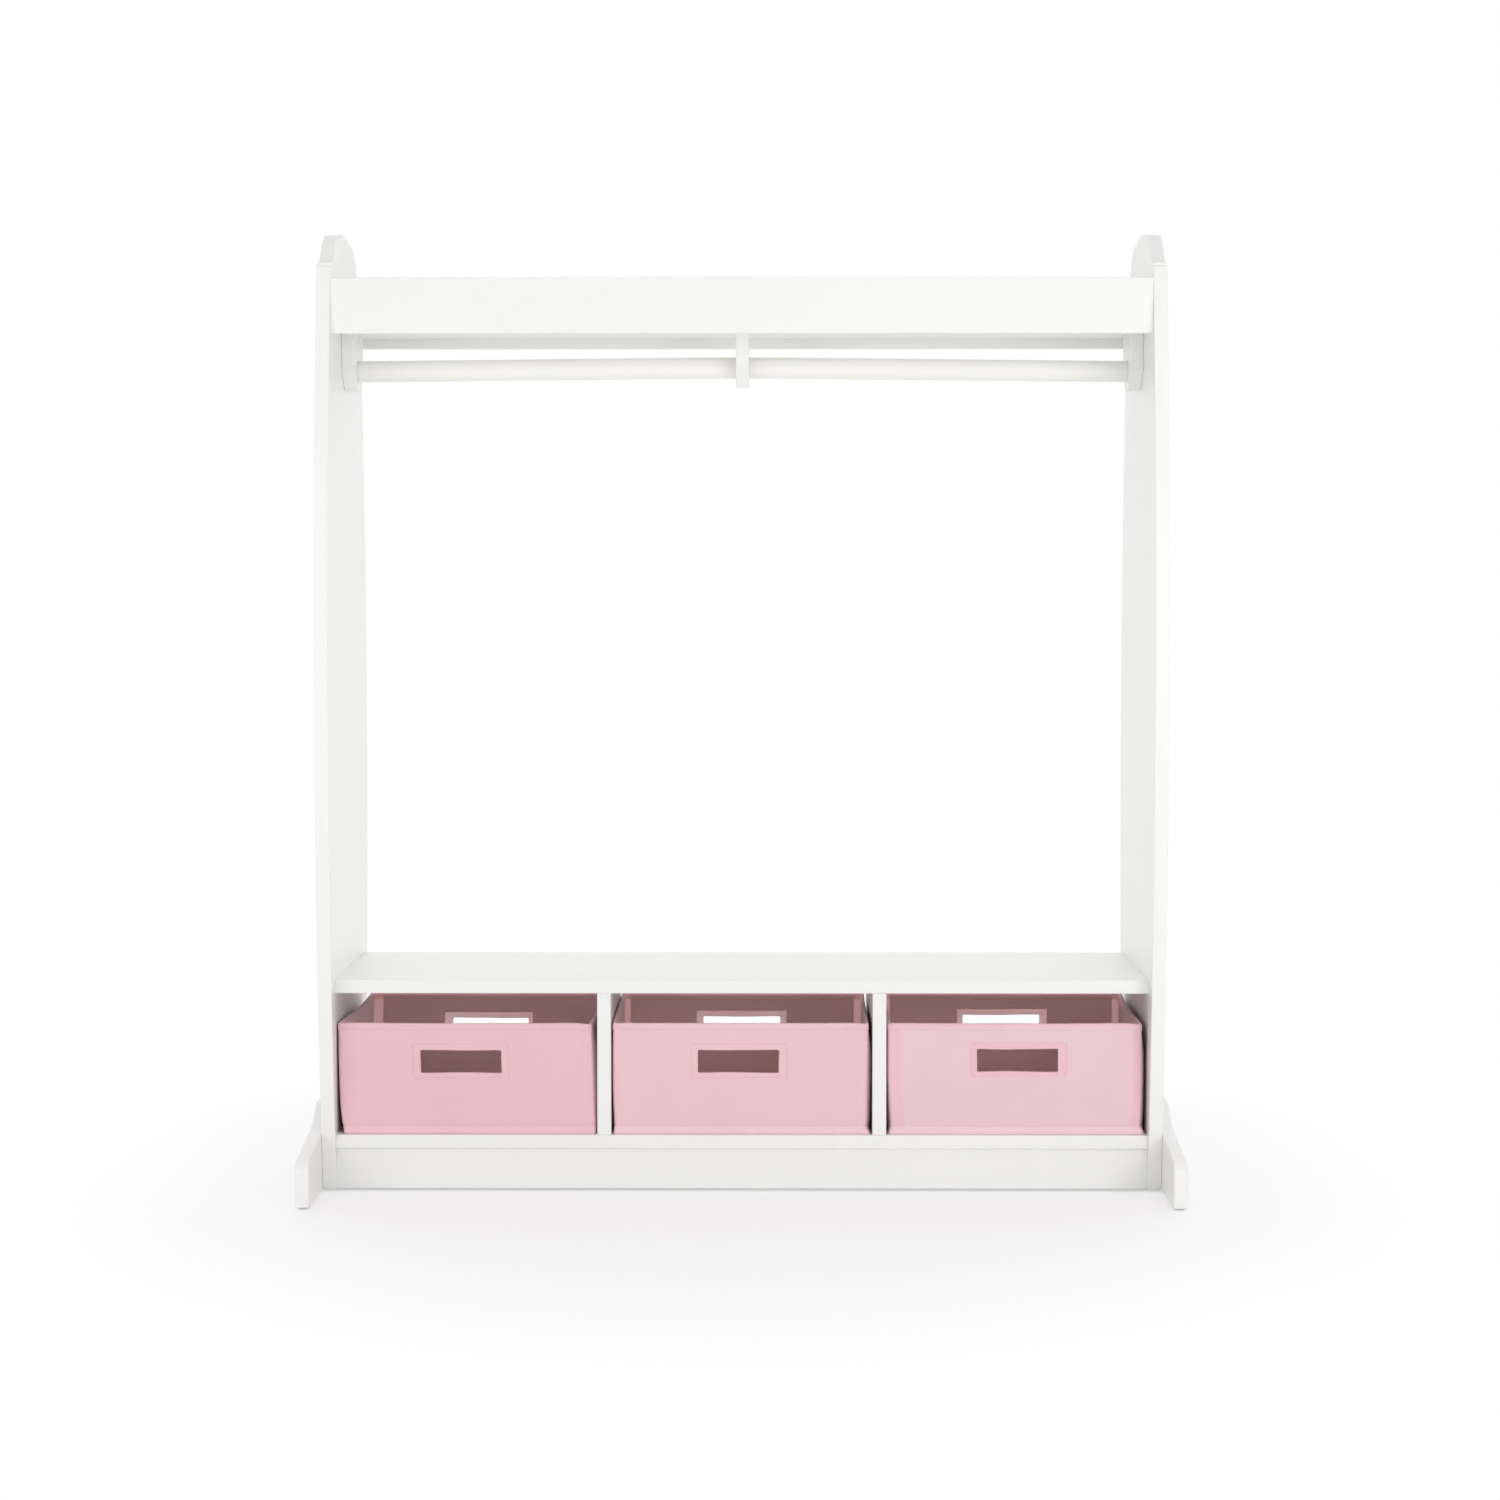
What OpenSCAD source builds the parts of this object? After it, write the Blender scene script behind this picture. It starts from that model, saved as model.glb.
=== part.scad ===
// Dress-up storage unit: two arched end panels on long feet carry a bench with three bin
// openings, a header with a top shelf and a hanging rod, and a mirror on one outer face.
// Millimetres. Z is up, X is to the right and the front is towards -Y.
// The origin is on the floor, midway between the end panels and at mid-depth.

/* [Overall] */
// Clear width between the end panels
clear_w = 1055; // [950:5:1150]
// Height from the floor to the top of the crown
total_h = 1250; // [1180:5:1320]
// Thickness of every board
board_t = 18; // [16:0.5:20]
// Depth over the header boards, the bench and the bottom shelf
case_d = 306; // [294:1:312]

/* [End panels] */
// Depth of an end panel at its base
panel_base_d = 301; // [295:1:330]
// Depth of an end panel at its shoulders, where the crown starts
shoulder_d = 300; // [295:1:330]
// How far each long edge bows out from a straight line between base and shoulder
panel_bulge = 50.5; // [30:0.5:60]
// Height of the crown above the shoulders
crown_h = 53; // [45:0.5:65]
// Upright step at each shoulder
crown_step = 5; // [3:0.5:8]
// How far the crown is set in from each shoulder corner
crown_setback = 3; // [1:0.5:8]
// Depth of the level tier near the top of the crown
tier_d = 150; // [120:1:170]
// Depth of the flat on the crown's raised middle
cap_d = 32; // [16:1:50]
// Length of the slope at each end of that flat
cap_run = 29; // [15:1:34]
// Height of the raised middle above the tier
cap_rise = 6.5; // [3:0.5:10]

/* [Feet] */
// Length of a foot, front to back
foot_len = 559; // [480:1:620]
// Height of a foot's tip
foot_tip_h = 59; // [45:1:65]
// Radius of the tip's upper corner
foot_round = 17; // [8:1:24]
// Height where the sloping top meets the raised middle
foot_instep_h = 77; // [68:1:90]
// Height of the raised middle
foot_mid_h = 103; // [95:1:125]
// Length of the flat on the raised middle
foot_flat = 126; // [80:1:160]
// Length of the curved rise at each end of that flat
foot_rise_run = 76; // [50:1:90]
// Thickness of a glide, which holds the wood off the floor
glide_h = 3; // [2:0.5:6]
// Diameter of a glide
glide_dia = 16; // [10:1:16]
// Distance from a foot's tip to the middle of its glide
glide_inset = 15; // [10:1:30]
// Diameter of a glide's nail
glide_nail_dia = 3; // [2:0.5:4]
// Length of a glide's nail in the wood
glide_nail_l = 14; // [8:1:24]

/* [Bench and bins' openings] */
// Height of the front and back plinth boards
plinth_h = 53.5; // [45:0.5:80]
// How far the plinths stand behind the shelf's edges
plinth_setback = 6; // [0:1:20]
// Clear height of the bin openings
opening_h = 185; // [170:1:230]
// How far the dividers stand behind the bench's edges
divider_setback = 3; // [0:1:15]

/* [Header] */
// Height of the header boards
header_h = 71; // [65:1:100]
// Drop from the shoulders to the top of the header boards
header_drop = 15; // [8:1:40]
// Height of the top shelf's underside above the header boards' lower edges
shelf_rise = 13; // [8:1:30]

/* [Hanging rod] */
// Diameter of the rod
rod_dia = 28; // [22:0.5:32]
// Drop from the top shelf's underside to the middle of the rod
rod_drop = 50.5; // [42:0.5:80]
// Play between the rod and its holes, on the radius
rod_play = 0.25; // [0.1:0.05:1]
// Play between each end of the rod and the end panel
rod_end_play = 1; // [0.5:0.5:3]
// Thickness of a rod bracket
bracket_t = 17; // [14:0.5:22]
// Depth of a bracket where it meets the shelf
bracket_d = 92; // [80:1:130]
// Depth of a bracket at its lower edge
bracket_foot_d = 36; // [20:1:60]
// Wood left below the rod's hole
bracket_lip = 11; // [8:0.5:25]

/* [Bins] */
// Gap between a bin and its opening, both sides together
bin_gap = 7.5; // [5:0.5:16]
// How far each bin stands to the left of the middle of its opening
bin_shift = 2; // [0:0.5:2]
// Height of a bin
bin_h = 145.5; // [120:0.5:160]
// Depth of a bin, front to back
bin_d = 281; // [240:1:285]
// How far a bin's front stands behind the bench's front edge
bin_setback = 8; // [2:1:10]
// Thickness of the bins' cloth cover
cloth_t = 1; // [0.8:0.1:1.5]
// Thickness of the stiffeners in the bins' walls
stiffener_t = 2; // [1.5:0.1:3]
// Thickness of the bins' base board
base_board_t = 3; // [2:0.5:5]
// Height of the hem inside a bin's rim
hem_h = 22; // [12:1:28]
// Width of a handle cut-out
handle_w = 105; // [80:1:140]
// Height of a handle cut-out
handle_h = 28; // [22:1:36]
// Distance from a bin's rim to the top of its handle cut-out
handle_drop = 35; // [30:1:50]

/* [Mirror] */
// Width of the mirror sheet
mirror_w = 254; // [200:1:270]
// Height of the mirror sheet
mirror_h = 914; // [700:1:940]
// Thickness of the mirror sheet
mirror_t = 3; // [2:0.5:5]
// Height of the mirror's lower edge above the floor
mirror_z = 185; // [150:1:230]
// Radius of the mirror's corners
mirror_round = 12; // [4:1:30]
// Distance from the mirror's edges to its screws
mirror_screw_inset = 16; // [12:1:30]
// Diameter of a mirror screw's shank
mirror_screw_dia = 3.5; // [3:0.5:4]
// Length of a mirror screw in the panel
mirror_screw_l = 10; // [8:0.5:14]
// Diameter of a mirror screw's head
mirror_screw_head_dia = 8; // [6:0.5:10]
// Height of a mirror screw's head
mirror_screw_head_h = 2; // [1:0.5:3]

/* [Fittings] */
// Diameter of a cam lock
cam_dia = 15; // [12:0.5:16]
// Depth of a cam lock's hole
cam_depth = 13; // [12.5:0.5:14]
// Distance from a board's end to the middle of its cam locks
cam_inset = 34; // [24:1:40]
// Distance from a board's long edge to the middle of its cam locks
cam_edge_inset = 43; // [30:1:60]
// Diameter of a cam pin's shank
cam_pin_dia = 7; // [5:0.5:7]
// Diameter of a cam pin's threaded end
cam_thread_dia = 5; // [4:0.5:6]
// Length of a cam pin's threaded end
cam_thread_l = 11; // [8:0.5:12]
// Diameter of a dowel
dowel_dia = 8; // [6:1:10]
// Length of a dowel
dowel_l = 30; // [24:1:34]
// Length of a dowel's end that stands in the face of a board
dowel_short = 11; // [8:0.5:12]
// Distance from a divider's edges to its dowels
divider_dowel_inset = 58; // [30:1:80]
// Distance from a board's end to its first dowel along the edge
edge_dowel_inset = 106; // [90:1:130]
// Diameter of a wood screw's shank
screw_dia = 4.5; // [3.5:0.5:5]
// Diameter of a wood screw's head
screw_head_dia = 9; // [7:0.5:10]
// Height of a wood screw's conical head
screw_head_h = 3; // [2:0.5:4]
// Length of a bracket screw
bracket_screw_l = 45; // [35:1:48]
// Distance between a bracket's two screws
bracket_screw_gap = 56; // [40:1:60]
// Length of a foot screw
foot_screw_l = 31; // [26:1:32]
// Distance between neighbouring foot screws
foot_screw_pitch = 72; // [50:1:80]
// Play round a fitting in its hole, on the radius
fit = 0.05; // [0.02:0.01:0.1]
// Play at the end of a fitting in its hole
end_play = 1; // [0.5:0.1:1.5]

/* [Hidden] */
$fn = 48;
long_edge_fn = 720;
arc_steps = 10;
// How far a cutter runs past what it cuts
cut = 1;
// Shares of the run and of the rise of the crown's sides that are hollow
crown_hollow = [0.51, 0.385];
// Share of the small S curves that is hollow, and the turn of a foot tip's corner
even_hollow = 0.5;
tip_turn = 80;

paint = [0.95, 0.95, 0.93];
steel = [0.72, 0.73, 0.75];
zinc = [0.62, 0.62, 0.6];
beech = [0.84, 0.7, 0.5];
pink = [0.92, 0.73, 0.77];
greyboard = [0.6, 0.57, 0.52];
silver = [0.82, 0.85, 0.87];
nylon = [0.85, 0.85, 0.83];

// Heights, from the floor up
plinth_z = glide_h;
shelf_z = plinth_z + plinth_h;
bin_z = shelf_z + board_t;
bench_z = bin_z + opening_h;
bench_top_z = bench_z + board_t;
shoulder_z = total_h - crown_h;
tier_z = total_h - cap_rise;
header_top_z = shoulder_z - header_drop;
header_z = header_top_z - header_h;
top_shelf_z = header_z + shelf_rise;
top_shelf_top_z = top_shelf_z + board_t;
rod_z = top_shelf_z - rod_drop;
bracket_z = rod_z - rod_dia/2 - rod_play - bracket_lip;

// Places across and front to back
panel_x = clear_w/2;
foot_x = panel_x + board_t;
opening_w = (clear_w - 2*board_t)/3;
opening_pitch = opening_w + board_t;
divider_x = opening_pitch/2;
header_y = case_d/2 - board_t/2;
plinth_y = header_y - plinth_setback;
top_shelf_d = case_d - 2*board_t;
bin_w = opening_w - bin_gap;
bin_y = -case_d/2 + bin_setback + bin_d/2;
bracket_x = panel_x - bracket_t/2;

// Circle of a panel's back edge: through the base corner and the shoulder corner, bowed out
base_corner = [panel_base_d/2, glide_h];
shoulder_corner = [shoulder_d/2, shoulder_z];
edge_chord = shoulder_corner - base_corner;
edge_out = [edge_chord[1], -edge_chord[0]]/norm(edge_chord);
edge_r = (pow(norm(edge_chord)/2, 2) + pow(panel_bulge, 2))/(2*panel_bulge);
edge_centre = (base_corner + shoulder_corner)/2 + edge_out*(panel_bulge - edge_r);

// Where cam fittings join a board's ends to the panels: [y, z, turn about X of the cam's mouth]
MOUTH_UP = 0;
MOUTH_DOWN = 180;
MOUTH_BACK = -90;
MOUTH_FRONT = 90;
cam_y = case_d/2 - cam_edge_inset;
shelf_cam_y = top_shelf_d/2 - cam_edge_inset;
header_cam_z = (top_shelf_top_z + header_top_z)/2;
bench_cams = [for (s = [-1, 1]) [s*cam_y, bench_z + board_t/2, MOUTH_DOWN]];
shelf_cams = [for (s = [-1, 1]) [s*cam_y, shelf_z + board_t/2, MOUTH_DOWN]];
top_shelf_cams = [for (s = [-1, 1]) [s*shelf_cam_y, top_shelf_z + board_t/2, MOUTH_UP]];
front_header_cams = [[-header_y, header_cam_z, MOUTH_BACK]];
back_header_cams = [[header_y, header_cam_z, MOUTH_FRONT]];
front_plinth_cams = [[-plinth_y, plinth_z + plinth_h/2, MOUTH_BACK]];
back_plinth_cams = [[plinth_y, plinth_z + plinth_h/2, MOUTH_FRONT]];
all_cams = concat(bench_cams, shelf_cams, top_shelf_cams, front_header_cams,
                  back_header_cams, front_plinth_cams, back_plinth_cams);

// Dowels at the boards' ends: [y, z]
bench_end_dowels = [[0, bench_z + board_t/2]];
shelf_end_dowels = [[0, shelf_z + board_t/2]];
front_header_end_dowels = [[-header_y, top_shelf_z + board_t/2]];
back_header_end_dowels = [[header_y, top_shelf_z + board_t/2]];
all_end_dowels = concat(bench_end_dowels, shelf_end_dowels, front_header_end_dowels,
                        back_header_end_dowels);
// Rows of the other dowels
divider_dowel_y = case_d/2 - divider_setback - divider_dowel_inset;
edge_dowel_x = panel_x - edge_dowel_inset;
top_shelf_dowel_x = [-1, -1/3, 1/3, 1]*edge_dowel_x;
plinth_dowel_x = [-1, 1]*edge_dowel_x;

foot_screw_y = [-1.5, -0.5, 0.5, 1.5]*foot_screw_pitch;
foot_screw_z = plinth_z + plinth_h/2;
mirror_mid_z = mirror_z + mirror_h/2;
mirror_x = foot_x;
mirror_screw_points = [for (y = [-1, 1], z = [-1, 0, 1])
    [y*(mirror_w/2 - mirror_screw_inset), z*(mirror_h/2 - mirror_screw_inset)]];

// ---- Outlines ----

// Points on a circle from angle a to angle b
function arc(c, r, a, b) =
    [for (i = [0:arc_steps]) let (t = a + (b - a)*i/arc_steps) c + r*[cos(t), sin(t)]];

// An S curve inwards and up from p: a hollow, then a round. Both start and end level.
function ogee(p, run, rise, hollow) =
    let (turn = 2*atan(rise/run),
         r = run/sin(turn),
         top = p + [-run, rise])
    concat(arc(p + [0, hollow*r], hollow*r, 270, 270 - turn),
           arc(top - [0, (1 - hollow)*r], (1 - hollow)*r, 90 - turn, 90));

// A slope inwards and up from p: a hollow that starts level, then a round that stops at a corner
function hollow_slope(p, run, rise, share) =
    let (low = [share[0]*run, share[1]*rise],
         high = [run, rise] - low,
         steepest = 2*atan(low[1]/low[0]),
         last = 2*atan(high[1]/high[0]) - steepest,
         low_r = low[0]/sin(steepest),
         high_r = high[0]/(sin(steepest) - sin(last)),
         high_centre = p + [-low[0], low[1]] - high_r*[sin(steepest), cos(steepest)])
    concat(arc(p + [0, low_r], low_r, 270, 270 - steepest),
           arc(high_centre, high_r, 90 - steepest, 90 - last));

function mirrored(points) = [for (i = [len(points) - 1:-1:0]) [-points[i][0], points[i][1]]];

crown_foot = [shoulder_d/2 - crown_setback, shoulder_z + crown_step];
crown_half = concat(
    [crown_foot - [0, 2*crown_step]],
    hollow_slope(crown_foot, crown_foot[0] - tier_d/2, tier_z - crown_foot[1], crown_hollow),
    ogee([cap_d/2 + cap_run, tier_z], cap_run, cap_rise, even_hollow));

foot_half = concat(
    [[foot_len/2, glide_h]],
    arc([foot_len/2 - foot_round, glide_h + foot_tip_h - foot_round], foot_round, 0, tip_turn),
    ogee([foot_flat/2 + foot_rise_run, glide_h + foot_instep_h], foot_rise_run,
         foot_mid_h - foot_instep_h, even_hollow));

module edge_disc() translate(edge_centre) circle(r = edge_r, $fn = long_edge_fn);

module panel_outline() {
    intersection() {
        edge_disc();
        mirror([1, 0]) edge_disc();
        translate([-case_d, glide_h]) square([2*case_d, shoulder_z - glide_h]);
    }
    polygon(concat(crown_half, mirrored(crown_half)));
}

module foot_outline() polygon(concat(foot_half, mirrored(foot_half)));

module bracket_outline() polygon([
    [-bracket_d/2, top_shelf_z], [-bracket_d/2, rod_z], [-bracket_foot_d/2, bracket_z],
    [bracket_foot_d/2, bracket_z], [bracket_d/2, rod_z], [bracket_d/2, top_shelf_z]]);

module rounded_plate_outline(w, h, r) {
    square([w - 2*r, h], center = true);
    square([w, h - 2*r], center = true);
    for (x = [-1, 1], y = [-1, 1]) translate([x*(w/2 - r), y*(h/2 - r)]) circle(r = r);
}

// ---- Helpers ----

// Stands an outline drawn in Y and Z upright, with its thickness along X
module upright(x, t) translate([x, 0, 0]) rotate([90, 0, 90]) linear_extrude(t) children();

// A board given by its lowest corner and its size
module board(corner, size) translate(corner) cube(size);

// A rod along X, from x to x + l
module rod_x(x, l, d) translate([x, 0, 0]) rotate([0, 90, 0]) cylinder(d = d, h = l);

// Puts a fitting at both ends of a board: +X leads into the end panel from its inner face
module at_ends(points, sides = [-1, 1])
    for (s = sides, p = points)
        translate([s*panel_x, p[0], p[1]]) mirror([s < 0 ? 1 : 0, 0, 0])
            rotate([len(p) > 2 ? p[2] : 0, 0, 0]) children();

// ---- Fittings and their holes ----

module cam_pin() {
    rod_x(-end_play, cam_thread_l + end_play, cam_thread_dia);
    rod_x(-cam_inset + cam_pin_dia, cam_inset - cam_pin_dia - end_play, cam_pin_dia);
    rod_x(-cam_inset, cam_pin_dia, cam_pin_dia/2);
    rod_x(-cam_inset - cam_pin_dia/4, cam_pin_dia/2, cam_pin_dia - 1);
}

module cam_lock() translate([-cam_inset, 0, 0]) difference() {
    translate([0, 0, board_t/2 - cam_depth + fit])
        cylinder(d = cam_dia - 2*fit, h = cam_depth - 5*fit);
    translate([-cam_pin_dia/2, -cam_pin_dia/2 - fit, -cam_depth])
        cube([cam_dia, cam_pin_dia + 2*fit, cam_depth + cam_pin_dia/2 + fit]);
    for (a = [0, 90]) rotate([0, 0, a])
        translate([0, 0, board_t/2]) cube([cam_dia/2, cam_dia/10, cam_dia/6], center = true);
}

module cam_board_holes() {
    rod_x(-cam_inset, cam_inset + end_play, cam_pin_dia + 2*end_play);
    translate([-cam_inset, 0, board_t/2 - cam_depth]) cylinder(d = cam_dia, h = cam_depth + board_t);
}

module cam_panel_hole() rod_x(-end_play, cam_thread_l + 2*end_play, cam_thread_dia + 2*fit);

// A dowel along X whose short end leads into +X, and its hole in both pieces
module dowel() rod_x(dowel_short - dowel_l, dowel_l, dowel_dia);
module dowel_hole() rod_x(dowel_short - dowel_l - end_play, dowel_l + 2*end_play, dowel_dia + 2*fit);

// Dowels between a divider and the boards over and under it
module at_divider_dowels(x)
    for (y = [-1, 1]*divider_dowel_y) {
        translate([x, y, bench_z]) rotate([0, -90, 0]) children();
        translate([x, y, bin_z]) rotate([0, 90, 0]) children();
    }

// Dowels between the top shelf and a header board; side is -1 at the front
module at_header_dowels(side)
    for (x = top_shelf_dowel_x)
        translate([x, side*(header_y - board_t/2), top_shelf_z + board_t/2])
            rotate([0, 0, side*90]) children();

// Dowels between a plinth and the bottom shelf
module at_plinth_dowels(side)
    for (x = plinth_dowel_x)
        translate([x, side*plinth_y, shelf_z]) rotate([0, -90, 0]) children();

// A wood screw along -Z with its flat head's top at the origin
module wood_screw(l) translate([0, 0, -l]) {
    cylinder(d = screw_dia, h = l);
    translate([0, 0, l - screw_head_h])
        cylinder(d1 = screw_dia, d2 = screw_head_dia, h = screw_head_h);
}

module wood_screw_hole(l) translate([0, 0, -l - end_play]) {
    cylinder(d = screw_dia + 2*fit, h = l + 2*end_play);
    translate([0, 0, l + end_play - screw_head_h - fit])
        cylinder(d1 = screw_dia + 2*fit, d2 = screw_head_dia + 4*fit, h = screw_head_h + 2*fit);
}

module at_bracket_screws(x)
    for (s = [-1, 1]) translate([x, s*bracket_screw_gap/2, top_shelf_top_z]) children();

module at_foot_screws(sides = [-1, 1])
    at_ends([for (y = foot_screw_y) [y, foot_screw_z]], sides) rotate([0, -90, 0]) children();

module mirror_screw() {
    rod_x(-mirror_screw_l, mirror_screw_l + mirror_t, mirror_screw_dia);
    rod_x(mirror_t, mirror_screw_head_h, mirror_screw_head_dia);
}

module at_mirror_screws()
    for (p = mirror_screw_points) translate([mirror_x, p[0], mirror_mid_z + p[1]]) children();

module mirror_screw_hole(l) rod_x(-l, l + mirror_t + cut, mirror_screw_dia + 2*fit);

// ---- End panels and feet ----

module end_panel(side) difference() {
    upright(side > 0 ? panel_x : -panel_x - board_t, board_t) panel_outline();
    at_ends(all_cams, [side]) cam_panel_hole();
    at_ends(all_end_dowels, [side]) dowel_hole();
    at_foot_screws([side]) wood_screw_hole(foot_screw_l);
}

module left_end_panel() color(paint) end_panel(-1);

module right_end_panel() color(paint) difference() {
    end_panel(1);
    at_mirror_screws() mirror_screw_hole(mirror_screw_l + end_play);
}

module at_glides(sides = [-1, 1])
    for (x = sides, y = [-1, 1])
        translate([x*(foot_x + board_t/2), y*(foot_len/2 - glide_inset), 0]) children();

module foot(side) color(paint) difference() {
    upright(side > 0 ? foot_x : -foot_x - board_t, board_t) foot_outline();
    at_foot_screws([side]) wood_screw_hole(foot_screw_l);
    at_glides([side]) cylinder(d = glide_nail_dia + 2*fit, h = glide_h + glide_nail_l + end_play);
}

module left_foot() foot(-1);
module right_foot() foot(1);

module glides() color(nylon) at_glides() {
    cylinder(d = glide_dia, h = glide_h);
    cylinder(d = glide_nail_dia, h = glide_h + glide_nail_l);
}

// ---- Bench ----

module bench_top() color(paint) difference() {
    board([-panel_x, -case_d/2, bench_z], [clear_w, case_d, board_t]);
    at_ends(bench_cams) cam_board_holes();
    at_ends(bench_end_dowels) dowel_hole();
    for (s = [-1, 1]) at_divider_dowels(s*divider_x) dowel_hole();
}

module bottom_shelf() color(paint) difference() {
    board([-panel_x, -case_d/2, shelf_z], [clear_w, case_d, board_t]);
    at_ends(shelf_cams) cam_board_holes();
    at_ends(shelf_end_dowels) dowel_hole();
    for (s = [-1, 1]) {
        at_divider_dowels(s*divider_x) dowel_hole();
        at_plinth_dowels(s) dowel_hole();
    }
}

module divider(side) color(paint) difference() {
    board([side*divider_x - board_t/2, -case_d/2 + divider_setback, bin_z],
          [board_t, case_d - 2*divider_setback, opening_h]);
    at_divider_dowels(side*divider_x) dowel_hole();
}

module left_divider() divider(-1);
module right_divider() divider(1);

module plinth(side, cams) color(paint) difference() {
    board([-panel_x, side*plinth_y - board_t/2, plinth_z], [clear_w, board_t, plinth_h]);
    at_ends(cams) cam_board_holes();
    at_plinth_dowels(side) dowel_hole();
}

module front_plinth() plinth(-1, front_plinth_cams);
module back_plinth() plinth(1, back_plinth_cams);

// ---- Header ----

module header(side, cams, end_dowels) color(paint) difference() {
    board([-panel_x, side*header_y - board_t/2, header_z], [clear_w, board_t, header_h]);
    at_ends(cams) cam_board_holes();
    at_ends(end_dowels) dowel_hole();
    at_header_dowels(side) dowel_hole();
}

module front_header() header(-1, front_header_cams, front_header_end_dowels);
module back_header() header(1, back_header_cams, back_header_end_dowels);

module top_shelf() color(paint) difference() {
    board([-panel_x, -top_shelf_d/2, top_shelf_z], [clear_w, top_shelf_d, board_t]);
    at_ends(top_shelf_cams) cam_board_holes();
    for (s = [-1, 1]) at_header_dowels(s) dowel_hole();
    for (x = [-1, 0, 1]) at_bracket_screws(x*bracket_x) wood_screw_hole(bracket_screw_l);
}

// ---- Rod ----

module rod_bracket(x) color(paint) difference() {
    upright(x - bracket_t/2, bracket_t) bracket_outline();
    translate([x, 0, rod_z]) rod_x(-bracket_t, 2*bracket_t, rod_dia + 2*rod_play);
    at_bracket_screws(x) wood_screw_hole(bracket_screw_l);
}

module left_rod_bracket() rod_bracket(-bracket_x);
module centre_rod_bracket() rod_bracket(0);
module right_rod_bracket() rod_bracket(bracket_x);

module hanging_rod() color(paint) translate([0, 0, rod_z])
    rod_x(rod_end_play - panel_x, clear_w - 2*rod_end_play, rod_dia);

// ---- Mirror ----

module mirror_sheet() color(silver) difference() {
    translate([0, 0, mirror_mid_z]) upright(mirror_x, mirror_t)
        rounded_plate_outline(mirror_w, mirror_h, mirror_round);
    at_mirror_screws() mirror_screw_hole(mirror_t);
}

module mirror_screws() color(steel) at_mirror_screws() mirror_screw();

// ---- Groups of fittings ----

module cam_pins() color(steel) at_ends(all_cams) cam_pin();
module cam_locks() color(zinc) at_ends(all_cams) cam_lock();

module dowels() color(beech) {
    at_ends(all_end_dowels) dowel();
    for (s = [-1, 1]) {
        at_divider_dowels(s*divider_x) dowel();
        at_header_dowels(s) dowel();
        at_plinth_dowels(s) dowel();
    }
}

module bracket_screws() color(steel)
    for (x = [-1, 0, 1]) at_bracket_screws(x*bracket_x) wood_screw(bracket_screw_l);

module foot_screws() color(steel) at_foot_screws() wood_screw(foot_screw_l);

// ---- Bins ----
// In a bin's own place the floor of the opening is z = 0, and its middle is x = y = 0

module at_bin(i) translate([(i - 1)*opening_pitch - bin_shift, bin_y, bin_z]) children();

// A block that stands inset from the bin's outer walls, from height z up to top
module bin_block(inset, z, top)
    translate([inset - bin_w/2, inset - bin_d/2, z])
        cube([bin_w - 2*inset, bin_d - 2*inset, top - z]);

module handle_holes()
    translate([-handle_w/2, -bin_d, bin_h - handle_drop - handle_h])
        cube([handle_w, 2*bin_d, handle_h]);

wall_t = 2*cloth_t + stiffener_t;

// The cloth goes up the outside, over the stiffeners and down inside as a hem
module bin_cover(i) color(pink) at_bin(i) difference() {
    bin_block(0, 0, bin_h);
    bin_block(cloth_t, cloth_t, bin_h - hem_h);
    difference() {
        bin_block(cloth_t, bin_h - hem_h - cut, bin_h - cloth_t);
        bin_block(wall_t - cloth_t, bin_h - hem_h - 2*cut, bin_h);
    }
    bin_block(wall_t, bin_h - hem_h - cut, bin_h + cut);
    handle_holes();
}

module bin_stiffeners(i) color(greyboard) at_bin(i) difference() {
    union() for (side = [-1, 1]) {
        translate([cloth_t - bin_w/2,
                   side*(bin_d/2 - cloth_t - stiffener_t/2) - stiffener_t/2,
                   cloth_t + base_board_t])
            cube([bin_w - 2*cloth_t, stiffener_t, bin_h - 2*cloth_t - base_board_t]);
        translate([side*(bin_w/2 - cloth_t - stiffener_t/2) - stiffener_t/2,
                   cloth_t + stiffener_t + end_play - bin_d/2,
                   cloth_t + base_board_t])
            cube([stiffener_t, bin_d - 2*(cloth_t + stiffener_t + end_play),
                  bin_h - 2*cloth_t - base_board_t]);
    }
    handle_holes();
}

module bin_base(i) color(greyboard) at_bin(i)
    bin_block(cloth_t, cloth_t, cloth_t + base_board_t);

module left_bin_cover() bin_cover(0);
module left_bin_stiffeners() bin_stiffeners(0);
module left_bin_base() bin_base(0);
module middle_bin_cover() bin_cover(1);
module middle_bin_stiffeners() bin_stiffeners(1);
module middle_bin_base() bin_base(1);
module right_bin_cover() bin_cover(2);
module right_bin_stiffeners() bin_stiffeners(2);
module right_bin_base() bin_base(2);

// ---- The pieces ----

left_end_panel();
right_end_panel();
left_foot();
right_foot();
glides();
bench_top();
bottom_shelf();
left_divider();
right_divider();
front_plinth();
back_plinth();
front_header();
back_header();
top_shelf();
left_rod_bracket();
centre_rod_bracket();
right_rod_bracket();
hanging_rod();
mirror_sheet();
mirror_screws();
cam_pins();
cam_locks();
dowels();
bracket_screws();
foot_screws();
left_bin_cover();
left_bin_stiffeners();
left_bin_base();
middle_bin_cover();
middle_bin_stiffeners();
middle_bin_base();
right_bin_cover();
right_bin_stiffeners();
right_bin_base();
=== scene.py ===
# %% [markdown]
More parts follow.
